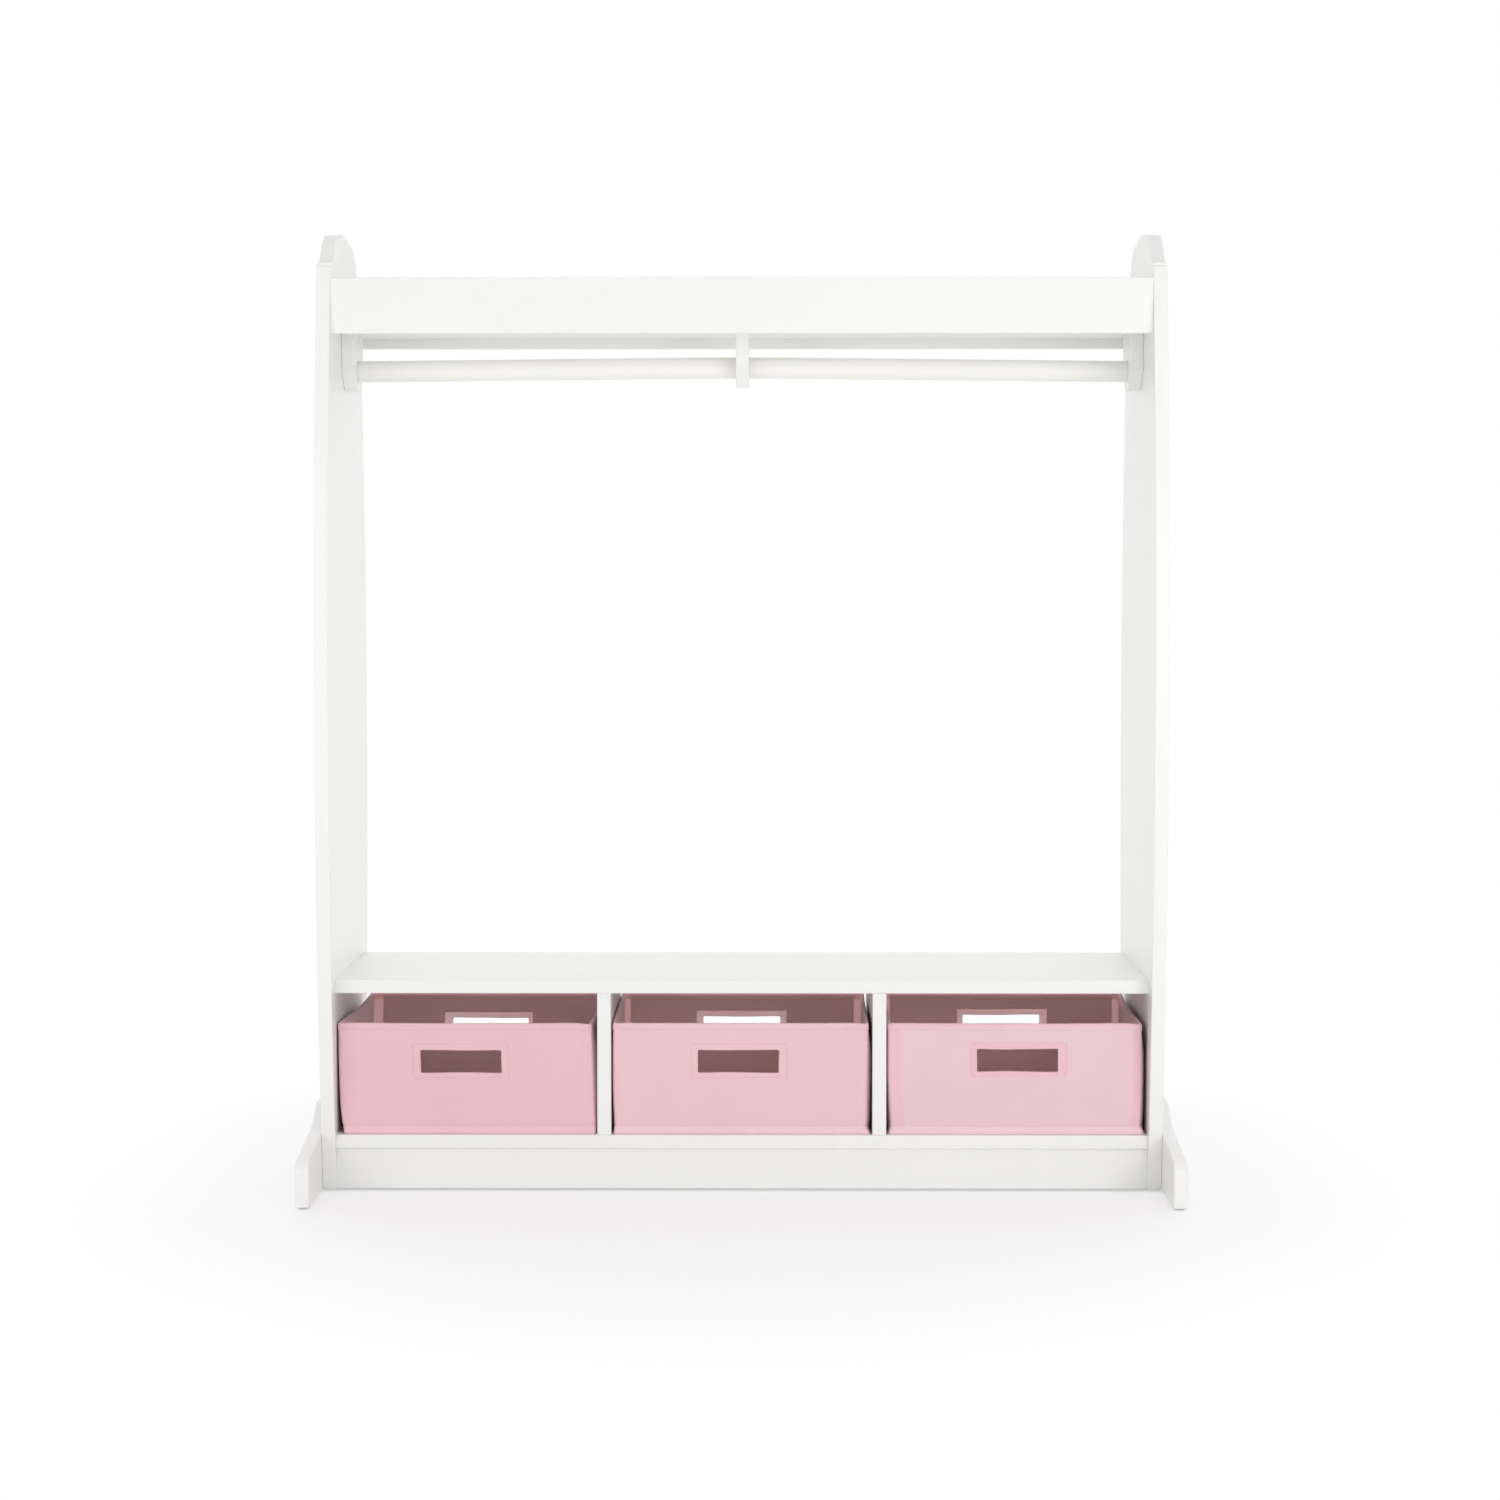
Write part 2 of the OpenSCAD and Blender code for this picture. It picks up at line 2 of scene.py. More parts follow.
# # A dress-up storage unit, dressed over its own solids
# The real object is a child's wardrobe of painted boards: two arched end panels on long feet,
# a bench with three cloth bins under it, a header with a shelf, a hanging rod and a mirror.
# Its solids are already there and measured, so this lesson only gives them their looks.
# Each board is drawn again with eased edges, each bin is drawn as folded cloth over card, and
# every surface gets a finish made of nodes. Lengths are metres and the floor is at zero.

# %% Load the imported model
import math
import bpy
import numpy as np
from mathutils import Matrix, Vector


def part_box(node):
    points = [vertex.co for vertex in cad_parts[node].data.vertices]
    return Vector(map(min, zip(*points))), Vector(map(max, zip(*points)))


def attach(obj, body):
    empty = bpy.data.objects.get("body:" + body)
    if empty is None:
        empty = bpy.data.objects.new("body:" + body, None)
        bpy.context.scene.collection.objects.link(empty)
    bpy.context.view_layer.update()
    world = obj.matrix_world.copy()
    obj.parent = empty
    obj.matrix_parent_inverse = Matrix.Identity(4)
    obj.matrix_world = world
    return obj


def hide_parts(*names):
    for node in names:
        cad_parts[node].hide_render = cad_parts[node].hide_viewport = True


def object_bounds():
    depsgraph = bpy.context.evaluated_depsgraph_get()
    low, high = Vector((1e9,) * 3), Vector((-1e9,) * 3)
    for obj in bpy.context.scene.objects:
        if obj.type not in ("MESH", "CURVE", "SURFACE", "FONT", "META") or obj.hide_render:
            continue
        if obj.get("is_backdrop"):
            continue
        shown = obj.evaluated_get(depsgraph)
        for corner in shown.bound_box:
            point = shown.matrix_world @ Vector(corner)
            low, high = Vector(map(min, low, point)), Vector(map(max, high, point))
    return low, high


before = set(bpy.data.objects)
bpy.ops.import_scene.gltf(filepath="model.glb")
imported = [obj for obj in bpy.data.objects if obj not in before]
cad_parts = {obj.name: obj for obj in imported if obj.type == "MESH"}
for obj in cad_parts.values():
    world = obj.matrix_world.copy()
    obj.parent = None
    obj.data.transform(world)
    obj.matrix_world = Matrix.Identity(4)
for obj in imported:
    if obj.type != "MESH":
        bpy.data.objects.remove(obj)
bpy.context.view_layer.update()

MM = 0.001
UP = np.array([0.0, 0.0, 1.0])
SIGNS = (-1, 1)
SQUARE = np.array([[-1, -1], [1, -1], [1, 1], [-1, 1]])

# %% [markdown]
# ## The camera
# The photograph was taken from in front, a little above the middle and a little to the right.
# Edges whose places are known on the solids were found in the photograph, and the camera that
# puts them there was worked out by least squares. Long lenses keep upright boards upright.

# %% Camera
PHOTO_SIDE = 1500
FOCAL_IN_PIXELS = 3231
EYE = (0.0342, -4.3174, 0.8028)
LOOKS_DOWN = 0.05445
LOOKS_LEFT = 0.00563

camera_data = bpy.data.cameras.new("photo_camera")
camera_data.sensor_width = 36
camera_data.lens = camera_data.sensor_width * FOCAL_IN_PIXELS / PHOTO_SIDE
camera = bpy.data.objects.new("photo_camera", camera_data)
camera.location = EYE
camera.rotation_euler = (math.pi / 2 - LOOKS_DOWN, 0, LOOKS_LEFT)
bpy.context.collection.objects.link(camera)
bpy.context.scene.camera = camera
bpy.context.scene.view_settings.view_transform = "Standard"
print("lens", round(camera_data.lens, 1), "mm, eye height", EYE[2], "m")

# %% [markdown]
# ## Small helpers for surfaces
# A table of points is a surface once its neighbours are joined by quads. Each row is a loop that
# runs anticlockwise seen from the side that the rows climb towards, so every face points out.

# %% Loops, pieces and smooth steps
def box(node):
    """A solid's lowest and highest corner, as arrays."""
    return [np.array(corner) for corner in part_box(node)]


def numbered(points):
    """A number for each point of a table, laid out like the table."""
    return np.arange(points[..., 0].size).reshape(points.shape[:-1])


def pointing(angles):
    """The cosine and sine of each angle, as pairs."""
    return np.stack([np.cos(angles), np.sin(angles)], axis=-1)


def unit(vectors):
    """Each vector divided by its length."""
    return vectors / np.linalg.norm(vectors, axis=-1, keepdims=True)


def loop_faces(numbers):
    """Quads between the rows of a table of point numbers, each row closed on itself.

    A quad joins (i, j), (i, j + 1), (i + 1, j + 1) and (i + 1, j).
    """
    after = np.roll(numbers, -1, axis=1)
    return np.stack([numbers[:-1], after[:-1], after[1:], numbers[1:]], axis=-1).reshape(-1, 4)


def closed(rows):
    """A shape from rows of points: its points, its quads, and a cap on either end."""
    numbers = numbered(rows)
    return rows.reshape(-1, 3), loop_faces(numbers), [numbers[0][::-1], numbers[-1]]


def smooth_step(x):
    """Zero below 0, one above 1, and three x squared less two x cubed between."""
    x = np.clip(x, 0.0, 1.0)
    return x * x * (3.0 - 2.0 * x)


def bell(distance, width):
    """One at distance zero, and e to the power of minus (distance / width) squared beside it."""
    return np.exp(-(distance / width) ** 2)


def make_piece(name, points, quads, caps=(), crease=40):
    """A mesh object from points, quads and a few many-sided caps, smooth below the crease."""
    mesh = bpy.data.meshes.new(name)
    faces = np.asarray(quads).tolist() + [np.asarray(cap).tolist() for cap in caps]
    mesh.from_pydata(np.asarray(points, float).reshape(-1, 3).tolist(), [], faces)
    mesh.polygons.foreach_set("use_smooth", [True] * len(mesh.polygons))
    mesh.set_sharp_from_angle(angle=math.radians(crease))
    mesh.update()
    piece = bpy.data.objects.new(name, mesh)
    bpy.context.collection.objects.link(piece)
    return piece


def dress(piece, materials, body, slot, *nodes):
    """Gives a piece its finishes and its body, and hides the solids it replaces; slot is not used.
    """
    for material in materials:
        piece.data.materials.append(material)
    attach(piece, body)
    if nodes:
        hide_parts(*nodes)

# %% [markdown]
# ## Helpers for node trees
# A material is a small tree of nodes. One function adds a node, sets what is a plain number and
# links what is a socket, so each finish below reads like a recipe. An effect that several
# finishes share is a node group with named inputs and outputs.

# %% Colours, nodes and groups
def srgb(red, green, blue):
    """A colour picked on a screen, 0 to 255, as the linear colour that a shader expects."""
    c = np.array([red, green, blue]) / 255.0
    linear = np.where(c <= 0.04045, c / 12.92, ((c + 0.055) / 1.055) ** 2.4)
    return (*linear.tolist(), 1.0)


def feed(tree, inputs, values):
    """Gives each input, by name or number, a plain value or another node's socket."""
    for key, value in values.items():
        if isinstance(value, bpy.types.NodeSocket):
            tree.links.new(value, inputs[key])
        else:
            inputs[key].default_value = value


def add(tree, kind, values=None, **settings):
    """Adds a shader node and returns its outputs."""
    node = tree.nodes.new("ShaderNode" + kind)
    for key, value in settings.items():
        setattr(node, key, value)
    feed(tree, node.inputs, values or {})
    return node.outputs


def maths(tree, operation, *values):
    """One Math node's result."""
    return add(tree, "Math", dict(enumerate(values)), operation=operation)[0]


def scaled(tree, vector, factor):
    """A colour or a vector times a number."""
    return add(tree, "VectorMath", {0: vector, "Scale": factor}, operation="SCALE")[0]


def mixed(tree, share, first, second):
    """The first colour where share is 0, the second where it is 1."""
    return add(tree, "Mix", {"Factor": share, 6: first, 7: second}, data_type="RGBA")[2]


def noise(tree, vector, scale, detail, roughness):
    """A cloudy noise: a value and a colour."""
    return add(tree, "TexNoise", {"Vector": vector, "Scale": scale, "Detail": detail,
                                  "Roughness": roughness})


def new_group(name, inputs, outputs):
    """An empty node group and its two ends.

    An input's default tells its kind: nothing for a vector, four numbers for a colour, or one
    number. An output is a colour if it is called Colour, and a number otherwise.
    """
    tree = bpy.data.node_groups.new(name, "ShaderNodeTree")
    for label, value in inputs.items():
        kind = "Vector" if value is None else "Color" if isinstance(value, tuple) else "Float"
        socket = tree.interface.new_socket(label, in_out="INPUT", socket_type="NodeSocket" + kind)
        if value is not None:
            socket.default_value = value
    for label in outputs:
        kind = "Color" if label == "Colour" else "Float"
        tree.interface.new_socket(label, in_out="OUTPUT", socket_type="NodeSocket" + kind)
    print("group:", name)
    return tree, tree.nodes.new("NodeGroupInput").outputs, tree.nodes.new("NodeGroupOutput").inputs


def place(tree, name, *values):
    """Puts a node group in a tree, with the values of its inputs in their order."""
    return add(tree, "Group", dict(enumerate(values)), node_tree=bpy.data.node_groups[name])


def new_material(name):
    """A material with its tree, its Principled BSDF and its texture coordinates."""
    material = bpy.data.materials.new(name)
    material.use_nodes = True
    tree = material.node_tree
    return material, tree, tree.nodes["Principled BSDF"].inputs, add(tree, "TexCoord")


def bump(tree, shader, height, depth):
    """Feeds a height from 0 to 1 into the shader's normal; depth is what 1 means in metres."""
    normal = add(tree, "Bump", {"Height": height, "Distance": depth, "Strength": 1.0})["Normal"]
    feed(tree, shader, {"Normal": normal})

# %% [markdown]
# ## Effects that finishes share
# Nothing made is one even colour. Paint and cloth drift a little in tone over a hand's breadth,
# sprayed and cast surfaces have a fine relief, and cloth has threads that pass over and under.

# %% Group: tone drift
WHITE = (1, 1, 1, 1)
BLACK = (0, 0, 0, 1)
tree, source, sink = new_group(
    "Tone drift", {"Vector": None, "Colour": WHITE, "Scale": 4.0, "Amount": 0.02}, ["Colour"])
cloud = noise(tree, source["Vector"], source["Scale"], 3.0, 0.55)[0]
swing = maths(tree, "MULTIPLY", maths(tree, "SUBTRACT", cloud, 0.5), source["Amount"])
gain = maths(tree, "MULTIPLY_ADD", swing, 2.0, 1.0)
feed(tree, sink, {"Colour": scaled(tree, source["Colour"], gain)})

# %% Group: fine relief, for sprayed paint, cast metal and moulded plastic
tree, source, sink = new_group(
    "Fine relief", {"Vector": None, "Grain": 0.004, "Roughness": 0.4, "Roughness swing": 0.1},
    ["Height", "Roughness"])
peel = noise(tree, source["Vector"], maths(tree, "DIVIDE", 1.0, source["Grain"]), 2.0, 0.45)[0]
around = maths(tree, "SUBTRACT", noise(tree, source["Vector"], 14.0, 4.0, 0.6)[0], 0.5)
rough = maths(tree, "MULTIPLY_ADD", around, source["Roughness swing"], source["Roughness"])
feed(tree, sink, {"Height": peel, "Roughness": rough})

# %% Group: plain weave, two sets of threads that pass over and under and pull each other about
tree, source, sink = new_group(
    "Plain weave", {"Vector": None, "Pitch": 0.0009, "Slub": 0.25}, ["Height", "Gap"])
uneven = noise(tree, source["Vector"], 160.0, 2.0, 0.5)["Color"]
pull = add(tree, "VectorMath", {0: uneven, 1: (0.5, 0.5, 0.5)}, operation="SUBTRACT")[0]
threads = scaled(tree, source["Vector"], maths(tree, "DIVIDE", math.pi, source["Pitch"]))
placed = add(tree, "VectorMath", {0: threads, 1: scaled(tree, pull, source["Slub"])},
             operation="ADD")[0]
parts = add(tree, "SeparateXYZ", {0: placed})
across = maths(tree, "SINE", parts["X"])
along = maths(tree, "SINE", parts["Y"])
over = maths(tree, "MULTIPLY_ADD", maths(tree, "MULTIPLY", across, along), 0.5, 0.5)
under = maths(tree, "SUBTRACT", 1.0, over)
height = maths(tree, "MAXIMUM",
               maths(tree, "MULTIPLY", maths(tree, "ABSOLUTE", across), over),
               maths(tree, "MULTIPLY", maths(tree, "ABSOLUTE", along), under))
feed(tree, sink, {"Height": height, "Gap": maths(tree, "SUBTRACT", 1.0, height)})

# %% Group: specks, for wood and bare metal
tree, source, sink = new_group(
    "Specks", {"Vector": None, "Colour": WHITE, "Speck colour": BLACK, "Scale": 900.0,
               "Share": 0.4}, ["Colour"])
fibres = noise(tree, source["Vector"], source["Scale"], 3.0, 0.7)[0]
chosen = add(tree, "MapRange", {"Value": fibres, "From Min": 0.45, "From Max": 0.7,
                                "To Min": 0.0, "To Max": source["Share"]})[0]
feed(tree, sink, {"Colour": mixed(tree, chosen, source["Colour"], source["Speck colour"])})

# %% [markdown]
# ## The paint
# The boards are fibreboard under a sprayed, satin white lacquer: warm by a hair, with a very
# shallow orange-peel relief and patches where it dried a little glossier. The rod is the same
# paint over turned wood, but its colour is a hair warmer still: painted shade from the shelf
# above it. A thin clear coat over a rougher base gives the soft double highlight.
# Paint, metal, plastic, glass, wood and thread share one recipe and differ in their numbers.

# %% Materials: white paint
def finish(name, colour, drift, relief, depth, specks=None, squeeze=None, constants=None):
    """A hard surface: a drifting tone, perhaps with specks, over a fine relief.

    Colours are as picked on a screen. drift holds the drift's scale and amount, relief the grain
    in metres, the roughness and how far that swings, depth the relief's depth in metres, specks
    their colour, scale and share, and squeeze what the places are multiplied by.
    """
    material, tree, shader, places = new_material(name)
    vector = places["Object"]
    if squeeze:
        vector = add(tree, "Mapping", {"Vector": vector, "Scale": squeeze})[0]
    tone = place(tree, "Tone drift", vector, srgb(*colour), *drift)[0]
    if specks:
        tone = place(tree, "Specks", vector, tone, srgb(*specks[0]), *specks[1:])[0]
    skin = place(tree, "Fine relief", vector, *relief)
    feed(tree, shader, {"Base Color": tone, "Roughness": skin["Roughness"], **(constants or {})})
    bump(tree, shader, skin["Height"], depth)
    print("material:", name)
    return material


METAL = {"Metallic": 1.0}
SATIN = {"Specular IOR Level": 0.4, "Coat Weight": 0.3, "Coat Roughness": 0.2}
white_paint = finish("white_paint", (244, 244, 242), (5.0, 0.014), (0.0042, 0.42, 0.16), 0.000035,
                     constants=SATIN)
# The rod's paint is a hair warmer than the boards': painted shade from the shelf above it.
shaded_rod_paint = finish("shaded_rod_paint", (244, 243, 239), (5.0, 0.014), (0.0026, 0.38, 0.16), 0.00003,
                   constants=SATIN)

# %% [markdown]
# ## Boards
# A board with a shaped outline is that outline carried straight through the board's thickness.
# A long plain board is its small cross-section carried along its length instead, so that its
# long edges can be eased without touching the ends that butt against a panel. The easing itself
# is a Bevel, which a spindle moulder or sanding block gives on the real boards.

# %% Carry an outline along an axis
AXES = {"x": (1, 2, 0), "y": (2, 0, 1), "z": (0, 1, 2)}


def carried(outline, axis, stations):
    """Row k is the outline, or its own k-th version, at station k along an axis.

    An outline holds pairs of the two other coordinates, in the order that turns right-handed
    about the axis: Y and Z for x, Z and X for y, X and Y for z.
    """
    points = np.empty((len(stations), outline.shape[-2], 3))
    points[..., list(AXES[axis][:2])] = outline
    points[..., AXES[axis][2]] = np.asarray(stations)[:, None]
    return points


def ease(piece, width, segments=3, limit="ANGLE"):
    """Rounds every edge sharper than 20 degrees, and keeps the flats shaded flat."""
    modifier = piece.modifiers.new("eased edges", "BEVEL")
    modifier.width = width
    modifier.segments = segments
    modifier.limit_method = limit
    modifier.angle_limit = math.radians(20)
    modifier.harden_normals = True


def ease_along(piece, axis, width, at_ends):
    """Rounds a straight board's long edges by width and the edges of its sawn ends by at_ends.

    A Bevel is as wide as its width times an edge's weight, and an edge is a long one if it spans
    some length along the axis.
    """
    mesh = piece.data
    ends = np.empty(2 * len(mesh.edges), np.int32)
    mesh.edges.foreach_get("vertices", ends)
    places = np.empty(3 * len(mesh.vertices))
    mesh.vertices.foreach_get("co", places)
    edges = places.reshape(-1, 3)[ends.reshape(-1, 2), AXES[axis][2]]
    weights = np.where(np.ptp(edges, axis=1) > width, 1.0, at_ends / width)
    layer = mesh.attributes.new("bevel_weight_edge", "FLOAT", "EDGE")
    layer.data.foreach_set("value", weights.astype(np.float32))
    ease(piece, width, limit="WEIGHT")


def outlined_board(name, outline, axis, low, high):
    """A solid board: the outline carried from low to high, closed by a cap at each end."""
    return make_piece(name, *closed(carried(outline, axis, [low, high])), crease=180)


def arc(centre, radius, start, end, steps=10):
    """Points from one angle to another, in degrees: centre + radius * (cosine, sine)."""
    return np.asarray(centre) + radius * pointing(np.radians(np.linspace(start, end, steps + 1)))


def s_curve(start, run, rise, share=(0.5, 0.5)):
    """An S inwards and up from start: a hollow arc, then a round one.

    The hollow takes the given shares of the run and the rise. An arc that starts level and
    covers a run and a rise turns by twice the angle whose tangent is rise / run. With shares of
    a half the S ends level, and otherwise at a corner.
    """
    low = np.array(share) * [run, rise]
    high = np.array([run, rise]) - low
    steepest = 2 * math.atan2(low[1], low[0])
    last = 2 * math.atan2(high[1], high[0]) - steepest
    low_radius = low[0] / math.sin(steepest)
    high_radius = high[0] / (math.sin(steepest) - math.sin(last))
    low_centre = start + np.array([0, low_radius])
    inwards = np.array([math.sin(steepest), math.cos(steepest)])
    high_centre = start + [-low[0], low[1]] - high_radius * inwards
    steepest, last = math.degrees(steepest), math.degrees(last)
    return np.concatenate([arc(low_centre, low_radius, 270, 270 - steepest),
                           arc(high_centre, high_radius, 90 - steepest, 90 - last)[1:]])


def both_sides(half):
    """A half outline and its mirror image, as one closed anticlockwise outline."""
    return np.concatenate([half, (half * [-1, 1])[::-1]])


def shaped_boards(names, outline, width):
    """Boards of one outline, as thick as their solids along X and standing where those do."""
    for node in names:
        low, high = box(node)
        board = outlined_board("painted_" + node, outline, "x", low[0], high[0])
        ease(board, width)
        dress(board, [white_paint], "frame", "white_paint", node)

# %% [markdown]
# ## End panels
# Each end is one board whose long edges are shallow arcs. Above the shoulders stands a crown:
# a small upright step, a hollow slope up to a level tier, and a low raised middle. The outline
# is drawn from the same few sizes as the solid, so it falls on the solid to a fraction of a
# millimetre.

# %% End panels
panel_low, panel_high = box("right_end_panel")
BASE_HALF = 150.5 * MM
SHOULDER_HALF = 150 * MM
BULGE = 50.5 * MM
CROWN_H = 53 * MM
CROWN_STEP = 5 * MM
CROWN_SETBACK = 3 * MM
CROWN_HOLLOW = (0.51, 0.385)
TIER_HALF = 75 * MM
CAP_HALF = 16 * MM
CAP_RUN = 29 * MM
CAP_RISE = 6.5 * MM

shoulder_z = panel_high[2] - CROWN_H
tier_z = panel_high[2] - CAP_RISE
base_corner = np.array([BASE_HALF, panel_low[2]])
shoulder_corner = np.array([SHOULDER_HALF, shoulder_z])
chord = shoulder_corner - base_corner
chord_out = np.array([chord[1], -chord[0]]) / np.linalg.norm(chord)
edge_radius = ((np.linalg.norm(chord) / 2) ** 2 + BULGE ** 2) / (2 * BULGE)
edge_centre = (base_corner + shoulder_corner) / 2 + chord_out * (BULGE - edge_radius)
edge_angles = [math.degrees(math.atan2(*(corner - edge_centre)[::-1]))
               for corner in (base_corner, shoulder_corner)]
crown_foot = np.array([SHOULDER_HALF - CROWN_SETBACK, shoulder_z + CROWN_STEP])
panel_half = np.concatenate([
    arc(edge_centre, edge_radius, *edge_angles, steps=60),
    [[crown_foot[0], shoulder_z]],
    s_curve(crown_foot, crown_foot[0] - TIER_HALF, tier_z - crown_foot[1], CROWN_HOLLOW),
    s_curve(np.array([CAP_HALF + CAP_RUN, tier_z]), CAP_RUN, CAP_RISE)])
shaped_boards(("left_end_panel", "right_end_panel"), both_sides(panel_half), 1.4 * MM)
print("panel: widest", round(2 * panel_half[:, 0].max() / MM, 1), "mm of",
      round((panel_high[1] - panel_low[1]) / MM, 1))

# %% [markdown]
# ## Feet
# A foot is a long shaped board outside each panel. Its tips are upright with a rounded corner,
# then the top slopes up and an S curve lifts it to a flat in the middle.

# %% Feet
FOOT_ROUND = 17 * MM
FOOT_TIP_H = 59 * MM
FOOT_INSTEP_H = 77 * MM
FOOT_MID_H = 103 * MM
FOOT_FLAT_HALF = 63 * MM
FOOT_RISE_RUN = 76 * MM

foot_low, foot_high = box("right_foot")
tip_y, sole_z = foot_high[1], foot_low[2]
foot_half = np.concatenate([
    [[tip_y, sole_z]],
    arc([tip_y - FOOT_ROUND, sole_z + FOOT_TIP_H - FOOT_ROUND], FOOT_ROUND, 0, 80),
    s_curve(np.array([FOOT_FLAT_HALF + FOOT_RISE_RUN, sole_z + FOOT_INSTEP_H]), FOOT_RISE_RUN,
            FOOT_MID_H - FOOT_INSTEP_H)])
shaped_boards(("left_foot", "right_foot"), both_sides(foot_half), 2.2 * MM)
print("foot: top at", round(foot_half[:, 1].max() / MM, 1), "mm of", round(foot_high[2] / MM, 1))

# %% [markdown]
# ## Plain boards
# Bench, shelves, plinths and headers run between the panels, so their section in Y and Z is
# carried along X. The dividers stand between two shelves, so theirs is carried up along Z.
# Their ends are sawn and butt against another board, so those edges are hardly eased at all.

# %% Plain boards
SAWN_EASE = 0.45 * MM
PLAIN_BOARDS = {
    ("x", 1.6 * MM): ("bench_top", "bottom_shelf", "top_shelf", "front_plinth", "back_plinth",
                      "front_header", "back_header"),
    ("z", 1.5 * MM): ("left_divider", "right_divider")}
for (axis, eased), nodes in PLAIN_BOARDS.items():
    *across, along = AXES[axis]
    for node in nodes:
        low, high = box(node)
        section = np.where(SQUARE > 0, high[across], low[across])
        board = outlined_board("painted_" + node, section, axis, low[along], high[along])
        ease_along(board, axis, eased, SAWN_EASE)
        dress(board, [white_paint], "frame", "white_paint", node)
    print("plain boards along", axis, len(nodes))

# %% [markdown]
# ## Rod brackets and the rod
# A bracket hangs from the top shelf: upright at the top, then tapering to a narrow foot, with a
# bore for the rod. Every point of its outline has a partner on the bore at the same angle, so
# each face of the bracket is one ring of quads. The rod is a circle carried along X, whose
# radius shrinks over the last two millimetres where its ends are softened. In the photograph the
# middle bracket holds the rod a few millimetres higher than the ends do, so the rod's middle
# line rises towards it and each bracket's bore and foot follow that line.

# %% Rod brackets
rod_low, rod_high = box("hanging_rod")
rod_radius = (rod_high[2] - rod_low[2]) / 2
rod_z = (rod_high[2] + rod_low[2]) / 2
BORE_RADIUS = rod_radius + 0.25 * MM
BRACKET_FOOT_HALF = 18 * MM
ROD_BOW = 5 * MM
ROD_BEND = 60 * MM


def rod_rise(x):
    """Height of the rod's middle line over its solid's, from plus to minus half the bow.

    It falls with the distance from the middle, sqrt(x squared + bend squared) - bend, which is
    straight but for a round bend at the middle bracket.
    """
    def away(x):
        return np.sqrt(x ** 2 + ROD_BEND ** 2) - ROD_BEND
    return ROD_BOW * (0.5 - away(x) / away(rod_high[0]))


def bored_board(name, corners, bore_centre, bore_radius, low, high):
    """A convex outline with a round bore: outer point and bore point share each angle.

    Along the angle t the outline lies at the smallest positive distance, over the outline's
    edges, of (edge offset) / (edge normal . direction).
    """
    edges = np.roll(corners, -1, axis=0) - corners
    normals = np.stack([edges[:, 1], -edges[:, 0]], axis=1)
    offsets = ((corners - bore_centre) * normals).sum(axis=1)
    corner_angles = np.arctan2(*(corners - bore_centre).T[::-1])
    angles = np.unique(np.concatenate([np.linspace(-math.pi, math.pi, 65)[:-1], corner_angles]))
    directions = pointing(angles)
    facing = directions @ normals.T
    reach = np.where(facing > 1e-9, offsets / np.where(facing > 1e-9, facing, 1.0), np.inf)
    outline = bore_centre + directions * reach.min(axis=1)[:, None]
    bore = bore_centre + directions * bore_radius
    rings = carried(np.stack([bore, outline, outline, bore]), "x", [low, low, high, high])
    return make_piece(name, rings, loop_faces(numbered(rings)[[0, 1, 2, 3, 0]]), crease=180)


for node in ("left_rod_bracket", "centre_rod_bracket", "right_rod_bracket"):
    low, high = box(node)
    rise = float(rod_rise((low[0] + high[0]) / 2))
    foot_z, bore_z = low[2] + rise, rod_z + rise
    corners = np.array([[-BRACKET_FOOT_HALF, foot_z], [BRACKET_FOOT_HALF, foot_z],
                        [high[1], bore_z], [high[1], high[2]], [low[1], high[2]],
                        [low[1], bore_z]])
    bracket = bored_board("painted_" + node, corners, np.array([0, bore_z]), BORE_RADIUS,
                          low[0], high[0])
    ease(bracket, 1.2 * MM, segments=2)
    dress(bracket, [white_paint], "frame", "white_paint", node)
    print(node, "hangs down to", round(foot_z / MM, 1), "mm")

# %% Surfaces of revolution, and the rod
def circle(sides):
    """Evenly spaced points once round a circle of radius one."""
    return pointing(np.linspace(0, 2 * math.pi, sides, endpoint=False))


def turned(profile, axis, sides, centre=(0, 0)):
    """A turned shape: for each row (a, r) of the profile, a circle of radius r at station a."""
    return closed(carried(np.asarray(centre) + profile[:, 1, None, None] * circle(sides), axis,
                          profile[:, 0]))


END_SOFTENING = 2 * MM
turn = np.radians([0, 22.5, 45, 67.5, 90])
half_rod = np.stack([rod_high[0] - END_SOFTENING * (1 - np.sin(turn)),
                     rod_radius - END_SOFTENING * (1 - np.cos(turn))], axis=1)
middle_x = np.linspace(-0.5, 0.5, 51)
middle = np.stack([middle_x, np.full(len(middle_x), rod_radius)], axis=1)
rod_profile = np.concatenate([(half_rod * [-1, 1])[::-1], middle, half_rod])
points, quads, caps = turned(rod_profile, "x", 64, (0, rod_z))
points[:, 2] += rod_rise(points[:, 0])
rod = make_piece("painted_hanging_rod", points, quads, caps)
dress(rod, [shaded_rod_paint], "frame", "white_paint", "hanging_rod")
print("rod:", round(2 * rod_radius / MM, 1), "mm thick,", round(2 * rod_high[0], 3), "m long")

# %% [markdown]
# ## Screws, cam locks and glides
# Knock-down furniture shows its fittings on the hidden faces: zinc cam locks under the boards,
# screws along the feet and in the shelf. Each is a round head whose height over its face is
# worked out from the distance to its middle and from a cross cut by the driver.

# %% Materials: steel, zinc and nylon
steel = finish("steel", (205, 206, 208), (60.0, 0.06), (0.0006, 0.28, 0.2), 0.00002,
               specks=((160, 160, 162), 1500.0, 0.3), constants=METAL)
zinc = finish("zinc", (186, 186, 184), (60.0, 0.06), (0.0011, 0.45, 0.2), 0.00006,
              specks=((140, 140, 138), 1500.0, 0.3), constants=METAL)
nylon = finish("nylon", (222, 221, 214), (80.0, 0.03), (0.0008, 0.5, 0.1), 0.00003)

